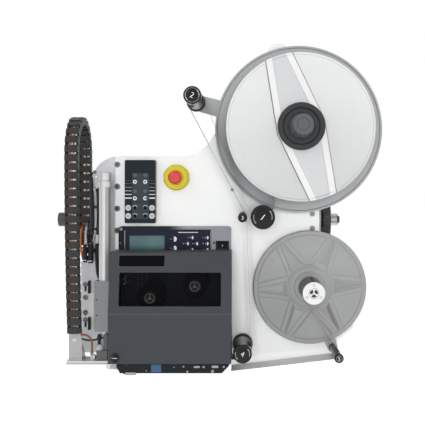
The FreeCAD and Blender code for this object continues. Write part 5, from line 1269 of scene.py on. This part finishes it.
def ribbon_roll(name, centre, radius, body):
    """A wound roll: flat ends with a slight dish, and a round outside."""
    profile = [(0.0127, 0.0245), (radius - 0.001, 0.0235), (radius, 0.0245), (radius, 0.0925), (radius - 0.001, 0.0935),
               (0.0150, 0.0922), (0.0127, 0.0930), (0.0127, 0.0245)]
    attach(lathe(name, profile, centre, ribbon_gloss, 72, 40), body)
    spot = np.array(centre)
    parts = [prism(band(spot, 0.0088, 0.0108, 0, 359.9, 40), 0.1058, 0.1066),
             prism(band(spot, 0.0, 0.0030, 0, 359.9, 20), 0.1058, 0.1066)]
    for angle in (90, 210, 330):
        a, b = polar(centre, 0.0030, angle), polar(centre, 0.0090, angle)
        side = np.array([-math.sin(math.radians(angle)), math.cos(math.radians(angle))]) * 0.0007
        parts.append(prism([a - side, b - side, b + side, a + side], 0.1058, 0.1064))
    solid(name + "_hub", parts, hub_grey, body)


ribbon_roll("supply_roll", (0.2806, -0.1305), 0.0262, "ribbon_supply")
ribbon_roll("takeup_roll", (0.1880, -0.1550), 0.0283, "ribbon_takeup")
print("ribbon rolls ready")

# %% [markdown]
# ## On the lid
# The lid's upper half leans back, so what lies on it takes its depth from its height: 140 mm at the crease,
# less a fifth of the height above it. The raised name bar is bare, black with a bright edge.


# %% Name bar, window rim and latch face
def lid_face(z):
    """Depth of the lid's front at a height."""
    return 0.140 - (0.025 / 0.1224) * np.maximum(0.0, np.asarray(z) + 0.1827)


def on_lid(outline, near, far):
    """A prism whose two ends both follow the leaning face."""
    points, faces = prism(outline, near, far)
    return points - np.array([0, 1, 0]) * lid_face(points[:, 2])[:, None], faces


name_black = painted("name_black", (0.003, 0.003, 0.004), rough=0.32, grain=0.02, gloss=0.04)
solid("name_bar", [on_lid(round_rect(0.1268, 0.2202, -0.0880, -0.0656, 0.0020), -0.0012, 0.0006)], name_black, "lid",
      bevel=0.0003)
rim = [(0.1264, 0.2206, -0.0656, -0.0652), (0.1264, 0.2206, -0.0884, -0.0880), (0.1264, 0.1268, -0.0884, -0.0652),
       (0.2202, 0.2206, -0.0884, -0.0652)]
solid("name_bar_rim", [on_lid(round_rect(a, b, c, d, 0.0002, 3), -0.0010, 0.0003) for a, b, c, d in rim], head_grey, "lid")
# Silver arcs and a bar on the black latch: painted highlights.
latch_highlights = [prism(band(np.array((0.122, -0.2704)), 0.0052, 0.0072, a, a + 60, 8), 0.1450, 0.1453)
               for a in (20, 150, 250)]
latch_highlights.append(prism(round_rect(0.1170, 0.1270, -0.2711, -0.2697, 0.0004, 3), 0.1436, 0.1453))
solid("latch_highlights", latch_highlights, silver, "lid_latch")
print("lid face at the top", round(float(lid_face(-0.0603)), 4))

# %% [markdown]
# ## Along the engine's lower edge
# Below the lid the mechanism shows: a blue tab, pan-head screws and small clips on the black casting.

# %% The tab, screws and clips of the lower edge
tab_blue = painted("tab_blue", (0.030, 0.110, 0.230), rough=0.4, grain=0.04)
brass = painted("brass", (0.55, 0.36, 0.12), rough=0.3, metallic=0.8)
CHIN = 0.098
solid("blue_tab", [prism(round_rect(0.1897, 0.2110, -0.3090, -0.2925, 0.0010), CHIN - 0.0005, CHIN + 0.0008)], tab_blue,
      "frame", bevel=0.0003)


def pan_heads(places):
    """Domed heads: a profile falling from the crown to the seat, turned about each place."""
    parts = []
    for x, z, radius in places:
        profile = [(0.0, CHIN - 0.0004), (radius, CHIN - 0.0004), (radius, CHIN + 0.0008), (0.8 * radius, CHIN + 0.0017),
                   (0.4 * radius, CHIN + 0.0021), (0.35 * radius, CHIN + 0.0014), (0.0, CHIN + 0.0014)]
        parts.append((lathe_points(profile, (x, z), 20).reshape(-1, 3),
                      grid_faces(len(profile), 20, wrap_columns=True).reshape(-1, 4).tolist()))
    return parts


solid("chin_screws", pan_heads([(0.2377, -0.2980, 0.0018), (0.2569, -0.2965, 0.0026), (0.2985, -0.2975, 0.0030),
                                (0.2020, -0.2990, 0.0016), (0.3170, -0.3065, 0.0034), (0.3400, -0.2972, 0.0026),
                                (0.1800, -0.3055, 0.0018)]), zinc, "frame")
clips = [prism(round_rect(0.2780, 0.2905, -0.3000, -0.2955, 0.0018), CHIN - 0.0004, CHIN + 0.0012),
         prism(round_rect(0.3150, 0.3290, -0.3000, -0.2945, 0.0020), CHIN - 0.0004, CHIN + 0.0012)]
solid("chin_clips", clips, zinc, "frame", bevel=0.0004)
solid("chin_contact", pan_heads([(0.2650, -0.3070, 0.0026)]), brass, "frame")
print("lower edge dressed")

# %% [markdown]
# ## Rounded corners of the window
# The opening in the lid has rounded corners, and a small web of metal fills each one. A corner is the
# square corner and a quarter circle bent the other way.

# %% Fill the window's corners
WINDOW = (0.1283, 0.3352, -0.1672, -0.1003)
CORNER = 0.0032


def corner_fill(x, z, toward_x, toward_z):
    """The corner point, then a quarter arc about the inset centre, from one side to the other."""
    t = np.linspace(0, np.pi / 2, 7)
    cx, cz = x + toward_x * CORNER, z + toward_z * CORNER
    arc = np.stack([cx - toward_x * CORNER * np.cos(t), cz - toward_z * CORNER * np.sin(t)], axis=-1)
    outline = np.concatenate([[(x, z)], arc])
    return outline if toward_x * toward_z < 0 else outline[::-1]


fills = [on_lid(corner_fill(x, z, sx, sz), -0.0030, 0.0001) for x, sx in ((WINDOW[0], 1), (WINDOW[1], -1))
         for z, sz in ((WINDOW[2], 1), (WINDOW[3], -1))]
solid("window_corners", fills, engine_paint, "lid")
print("corner radius", CORNER)
# %% [markdown]
# ## The keypad beside the emergency stop
# Printed marks are thin shapes laid on the face: stripes that grow brighter and thicker downwards, pale
# discs beside the trimmers, arcs above them and rings on the keys. The rings ride on the keys, so they go
# in when a key is pressed.

# %% Stripes, discs, lamps and rings
PANEL = 0.022
INNER = 0.021


def fading_print():
    """Print that runs from white low down to grey higher up: a map of the height."""
    g = Graph("fading_print")
    z = g.node("ShaderNodeSeparateXYZ", None, {0: g.place()}, out=2)
    level = g.node("ShaderNodeMapRange", None, {"Value": z, "From Min": 0.055, "From Max": 0.092})
    grain = g.noise(g.place(), 900.0, 2.0)
    return g.surface(Base_Color=g.mix(level, (0.72, 0.74, 0.75), (0.06, 0.07, 0.075)), Roughness=0.4 + 0.1 * grain,
                     Metallic=0.1)


stripe_rows = [(0.0886, 0.0004), (0.0818, 0.0005), (0.0737, 0.0009), (0.0662, 0.0013), (0.0584, 0.0018),
               (0.0505, 0.0026)]
stripes = [prism(round_rect(left, right, z - tall / 2, z + tall / 2, 0.0002, 3), PANEL - 0.0002, PANEL + 0.00012)
           for z, tall in stripe_rows for left, right in ((0.1246, 0.1391), (0.1773, 0.1896))]
solid("panel_stripes", stripes, fading_print(), "frame")
label_grey = painted("label_grey", (0.58, 0.59, 0.60), rough=0.4, grain=0.03)
disc_places = [(x, z) for x in (0.1317, 0.1830) for z in (0.0293, 0.0118)]
solid("panel_discs", [prism(circle(place, 0.0062), PANEL - 0.0002, PANEL + 0.0002) for place in disc_places],
      label_grey, "frame")
lines = [prism(round_rect(x - w, x + w, z + rise - 0.0003, z + rise + 0.0003, 0.0001, 3), PANEL, PANEL + 0.00032)
         for x, z in disc_places for rise, w in ((0.0018, 0.0032), (0.0, 0.0040), (-0.0018, 0.0032))]
solid("panel_disc_lines", lines, panel_face, "frame")
dials = [prism(circle((x, z), 0.0030, 24), INNER - 0.0002, INNER + 0.0002)
         for x in (0.1461, 0.1684) for z in (0.0290, 0.0115)]
solid("trimmer_dials", dials, name_black, "frame")
inset = [prism(round_rect(0.1402, 0.1762, low, high, 0.0006, 3), INNER - 0.0003, INNER + 0.00008)
         for low, high in ((0.0425, 0.1045), (0.0050, 0.0412))]
solid("panel_inset", inset, panel_face, "frame")
arcs = [prism(band(np.array((x, z)), 0.0047, 0.0058, 25, 155), INNER - 0.0002, INNER + 0.00015)
        for x in (0.1461, 0.1684) for z in (0.0293, 0.0118)]
solid("trimmer_arcs", arcs, label_grey, "frame")
lamp_rows = [(x, z) for x in (0.1461, 0.1684) for z in (0.1001, 0.0656)]
lamp_profile = [(0.0, INNER - 0.0003), (0.0042, INNER - 0.0003), (0.0042, INNER + 0.0006), (0.0033, INNER + 0.0009),
                (0.0026, INNER + 0.0003), (0.0016, INNER + 0.0008), (0.0, INNER + 0.0010)]
for number, place in enumerate(lamp_rows):
    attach(lathe(f"panel_lamp_{number + 1}", lamp_profile, place, grey_plastic, 28, 40), "frame")
divider = [prism(round_rect(0.1397, 0.1767, 0.0414, 0.0422, 0.0003, 3), INNER - 0.0002, INNER + 0.0002)]
solid("panel_divider", divider, panel_plastic, "frame")
key_boxes = {node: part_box(node) for node in ("panel_button_1", "panel_button_2", "panel_button_3", "panel_button_4")}
for node, (low, high) in key_boxes.items():
    centre = np.array([(low[0] + high[0]) / 2, (low[2] + high[2]) / 2])
    top = PLATE_FACE - low[1]
    start, end = {"panel_button_1": (0, 359.9), "panel_button_2": (60, 410), "panel_button_3": (0, 359.9),
                  "panel_button_4": (40, 320)}[node]
    parts = [prism(band(centre, 0.0022, 0.0043, start, end, 30), top - 0.0001, top + 0.0002)]
    solid("ring_of_" + node, parts, print_and_highlight_white, node)
print("keys", {node: [round(v, 4) for v in low] for node, (low, high) in key_boxes.items()})

# %% [markdown]
# ## The emergency stop
# A mushroom button has a domed, slightly glossy head over a yellow surround. The construction's head is a
# stepped cylinder, so a spun dome takes its place to the eye, with a fine seam round it.

# %% The red dome
stop_dome = [(0.0, 0.0604), (0.0060, 0.0602), (0.0095, 0.0595), (0.0122, 0.0580), (0.0138, 0.0556), (0.0143, 0.0530),
             (0.0143, 0.0500), (0.0139, 0.0486), (0.0100, 0.0478), (0.0, 0.0478)]
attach(lathe("stop_dome", stop_dome, (0.235, 0.095), red_plastic, 72, 60), "estop_button")
print("dome radius", stop_dome[5][0])
# %% [markdown]
# ## Hoses and leads beside the air cylinder
# Air hoses and sensor leads leave the carrier and run down the plate to the cylinder and the sensors. They
# are clipped to the plate, so they keep their line and need no hanging: each is a round section carried
# along a smooth curve through a few places, given as X, depth in front of the plate, and Z.

# %% Smooth leads through a few places


def smooth_line(places, count=48):
    """Catmull-Rom through the places: each stretch is a cubic whose slopes are half the gap between its
    neighbours, so the line passes every place without a corner."""
    p = np.array(places, float)
    p = np.concatenate([[2 * p[0] - p[1]], p, [2 * p[-1] - p[-2]]])
    u = np.linspace(0, len(places) - 1 - 1e-9, count)
    i = u.astype(int)
    t = (u - i)[:, None]
    a, b, c, d = p[i], p[i + 1], p[i + 2], p[i + 3]
    line = 0.5 * (2 * b + (c - a) * t + (2 * a - 5 * b + 4 * c - d) * t ** 2 + (3 * b - a - 3 * c + d) * t ** 3)
    return np.stack([line[:, 0], depth(line[:, 1]), line[:, 2]], axis=-1)


def lead(name, places, radius, material, body="frame"):
    """A hose or lead along a smooth line."""
    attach(tube(name, smooth_line(places), radius, material, 14), body)


lead("air_hose_wide", [(0.0472, -0.022, 0.104), (0.0476, 0.002, 0.090), (0.0500, 0.009, 0.060), (0.0508, 0.008, 0.000),
                       (0.0500, 0.010, -0.030), (0.0490, 0.016, -0.050)], 0.0046, hose_black)
lead("air_hose_pale", [(0.0575, 0.018, 0.072), (0.0602, 0.007, 0.050), (0.0598, 0.005, 0.020), (0.0580, 0.005, -0.008),
                       (0.0548, 0.009, -0.034), (0.0480, 0.020, -0.052)], 0.0026, hose_pale)
lead("air_hose_top", [(0.0700, 0.042, 0.0745), (0.0655, 0.026, 0.0705), (0.0642, 0.012, 0.056), (0.0640, 0.008, 0.020),
                      (0.0640, 0.008, -0.020), (0.0632, 0.010, -0.040)], 0.0034, hose_black)
lead("air_hose_low", [(0.0632, 0.010, -0.040), (0.0612, 0.012, -0.062), (0.0620, 0.012, -0.088), (0.0640, 0.015, -0.110),
                      (0.0690, 0.026, -0.1205)], 0.0036, hose_black)
lead("sensor_lead_orange", [(0.0240, -0.034, -0.012), (0.0260, 0.002, -0.020), (0.0290, 0.024, -0.040),
                            (0.0305, 0.025, -0.062), (0.0342, 0.024, -0.082)], 0.0022, cable_orange)
lead("air_hose_grey", [(0.0330, -0.034, -0.010), (0.0375, 0.004, -0.018), (0.0402, 0.024, -0.050)], 0.0032, hose_pale)
lead("air_hose_behind", [(0.0400, -0.030, 0.000), (0.0420, 0.010, -0.026), (0.0440, 0.020, -0.052)], 0.0042, hose_black)
print("leads clipped to the plate")

# %% [markdown]
# ## Fittings
# Push-in fittings and plugs are turned shapes whose axis is upright. The tube helper takes one radius for
# each point of its path, so a plug is a straight path with a radius that steps in and out.


# %% Plugs, union and clamp
def plug(name, x, deep, z_low, z_high, radii, material, body="frame"):
    """An upright turned shape: radii in millimetres spaced evenly from the bottom to the top."""
    steps = np.repeat(np.array(radii, float) * MM, 2)
    heights = np.linspace(z_low, z_high, len(radii) + 1)
    z = np.stack([heights[:-1], heights[1:] - 0.00005], axis=-1).reshape(-1)
    path = np.stack([np.full(len(z), x), np.full(len(z), depth(deep)), z], axis=-1)
    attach(tube(name, path, steps, material, 24), body)


plug("plug_left", 0.0385, 0.0245, -0.0880, -0.0500, [4.6, 6.0, 6.0, 5.2, 6.0, 5.2, 6.0, 4.2], hose_black)
plug("plug_right", 0.0500, 0.0215, -0.0900, -0.0480, [5.2, 6.6, 6.6, 5.6, 6.6, 5.6, 6.6, 5.4], hose_black)
plug("plug_left_ring", 0.0385, 0.0245, -0.0845, -0.0825, [6.25, 6.25], silver)
plug("plug_right_ring", 0.0500, 0.0215, -0.0865, -0.0842, [6.85, 6.85], silver)
plug("hose_union", 0.0632, 0.0115, -0.0480, -0.0290, [4.4, 5.6, 5.6, 4.4, 5.2], silver)
cap_low, cap_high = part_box("cylinder_cap")
tube_low, tube_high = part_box("air_cylinder")
plug("cap_seal", (tube_low[0] + tube_high[0]) / 2, PLATE_FACE - (tube_low[1] + tube_high[1]) / 2, cap_high[2] - 0.0012,
     cap_high[2] + 0.0002, [13.4, 13.0], socket_dark)
plug("cap_port", 0.0700, 0.0425, 0.0715, 0.0800, [3.2, 4.4, 4.4, 2.6], silver)
clamp = [prism(round_rect(0.0325, 0.0575, -0.0680, -0.0600, 0.0012), 0.0005, 0.0190),
         prism(round_rect(0.0440, 0.0560, -0.0290, -0.0225, 0.0012), 0.0005, 0.0200),
         prism(round_rect(0.0460, 0.0680, 0.0280, 0.0340, 0.0010), 0.0003, 0.0110),
         prism(round_rect(0.0440, 0.0680, -0.0200, -0.0140, 0.0010), 0.0003, 0.0110)]
solid("hose_clips", clamp, anchor_dark, "frame", bevel=0.0004)
print("fittings on the plate")

# %% [markdown]
# ## At the applicator's foot
# A lead and a hose cross from the carrier's end to the vacuum fitting on the foot bar. They ride on the
# applicator, because both of their ends do.

# %% Foot leads, fitting and bracket screws
lead("foot_lead", [(0.0400, 0.076, -0.2350), (0.0510, 0.075, -0.2362), (0.0588, 0.074, -0.2425), (0.0628, 0.073, -0.2535),
                   (0.0622, 0.070, -0.2680), (0.0612, 0.066, -0.2885)], 0.0021,
     painted("lead_brown", (0.22, 0.075, 0.035), rough=0.4, grain=0.03), "applicator")
plug("foot_plug", 0.0613, 0.0665, -0.2893, -0.2560, [3.6, 3.8, 3.6, 3.2, 2.8, 2.4], hose_pale, "applicator")
lead("foot_hose", [(0.0400, 0.070, -0.2440), (0.0520, 0.069, -0.2480), (0.0670, 0.068, -0.2475), (0.0800, 0.066, -0.2440),
                   (0.0905, 0.062, -0.2440)], 0.0020, hose_black, "applicator")
fitting = [prism(round_rect(0.0720, 0.0950, -0.2893, -0.2690, 0.0015), 0.0500, 0.0740),
           prism(round_rect(0.0860, 0.0950, -0.2690, -0.2360, 0.0015), 0.0520, 0.0700)]
solid("foot_fitting", fitting, grey_plastic, "applicator", bevel=0.0006)
plug("foot_suction", 0.0765, 0.0640, -0.2695, -0.2575, [7.5, 9.0, 9.2, 8.6, 7.2, 4.8], hose_pale, "applicator")
plug("foot_elbow", 0.0765, 0.0640, -0.2580, -0.2360, [3.4, 3.4, 4.6, 4.6, 3.6], hose_black, "applicator")
plug("foot_nut", 0.0660, 0.0640, -0.2893, -0.2780, [3.4, 4.2, 4.2, 3.0], silver, "applicator")
solid("foot_bracket_screw", screw_faces([(0.0256, -0.2470)], 0.0036, 0.0715), silver, "applicator")
bracket_places = [(0.0352, -0.1380), (0.0352, -0.1668), (0.0352, -0.1998), (0.0352, -0.2160)]
solid("bracket_screw_heads", screw_faces(bracket_places, 0.0046, 0.0040), screw_dark, "frame")
solid("bracket_screw_sockets", socket_discs(bracket_places, 0.0052, 0.0040), silver, "frame")
solid("bracket_screw_rims", [prism(band(np.array(place), 0.0044, 0.0054, 0, 359.9, 30), 0.0029, 0.0036)
                             for place in bracket_places], socket_dark, "frame")
# Dark liners in the two slots: painted shade where the plate shows through.
slots = [prism(round_rect(0.0330, 0.0374, low, low + 0.0115, 0.0020), 0.0005, 0.00315) for low in (-0.1532, -0.2312)]
solid("bracket_slot_shade", slots, socket_dark, "frame")
print("foot dressed")

# %% [markdown]
# ## The peel edge
# At the lower left of the engine the backing turns sharply over a peel edge, and a small clamp holds it.

# %% Small parts at the peel edge
solid("peel_screws", screw_faces([(0.1105, -0.2990)], 0.0042, 0.0902), zinc, "frame")
clip = [prism(round_rect(0.1040, 0.1180, -0.3035, -0.2950, 0.0020), 0.0895, 0.0907),
        prism(round_rect(0.1360, 0.1590, -0.3150, -0.3090, 0.0018), 0.0905, 0.0985)]
solid("peel_clip", clip, zinc, "frame", bevel=0.0005)
solid("peel_block", [prism([(0.1180, -0.3000), (0.1240, -0.3080), (0.1360, -0.3140), (0.1500, -0.3140),
                            (0.1500, -0.2960), (0.1180, -0.2930)], 0.0700, 0.0975)], casting_black, "frame", bevel=0.0006)
print("peel edge dressed")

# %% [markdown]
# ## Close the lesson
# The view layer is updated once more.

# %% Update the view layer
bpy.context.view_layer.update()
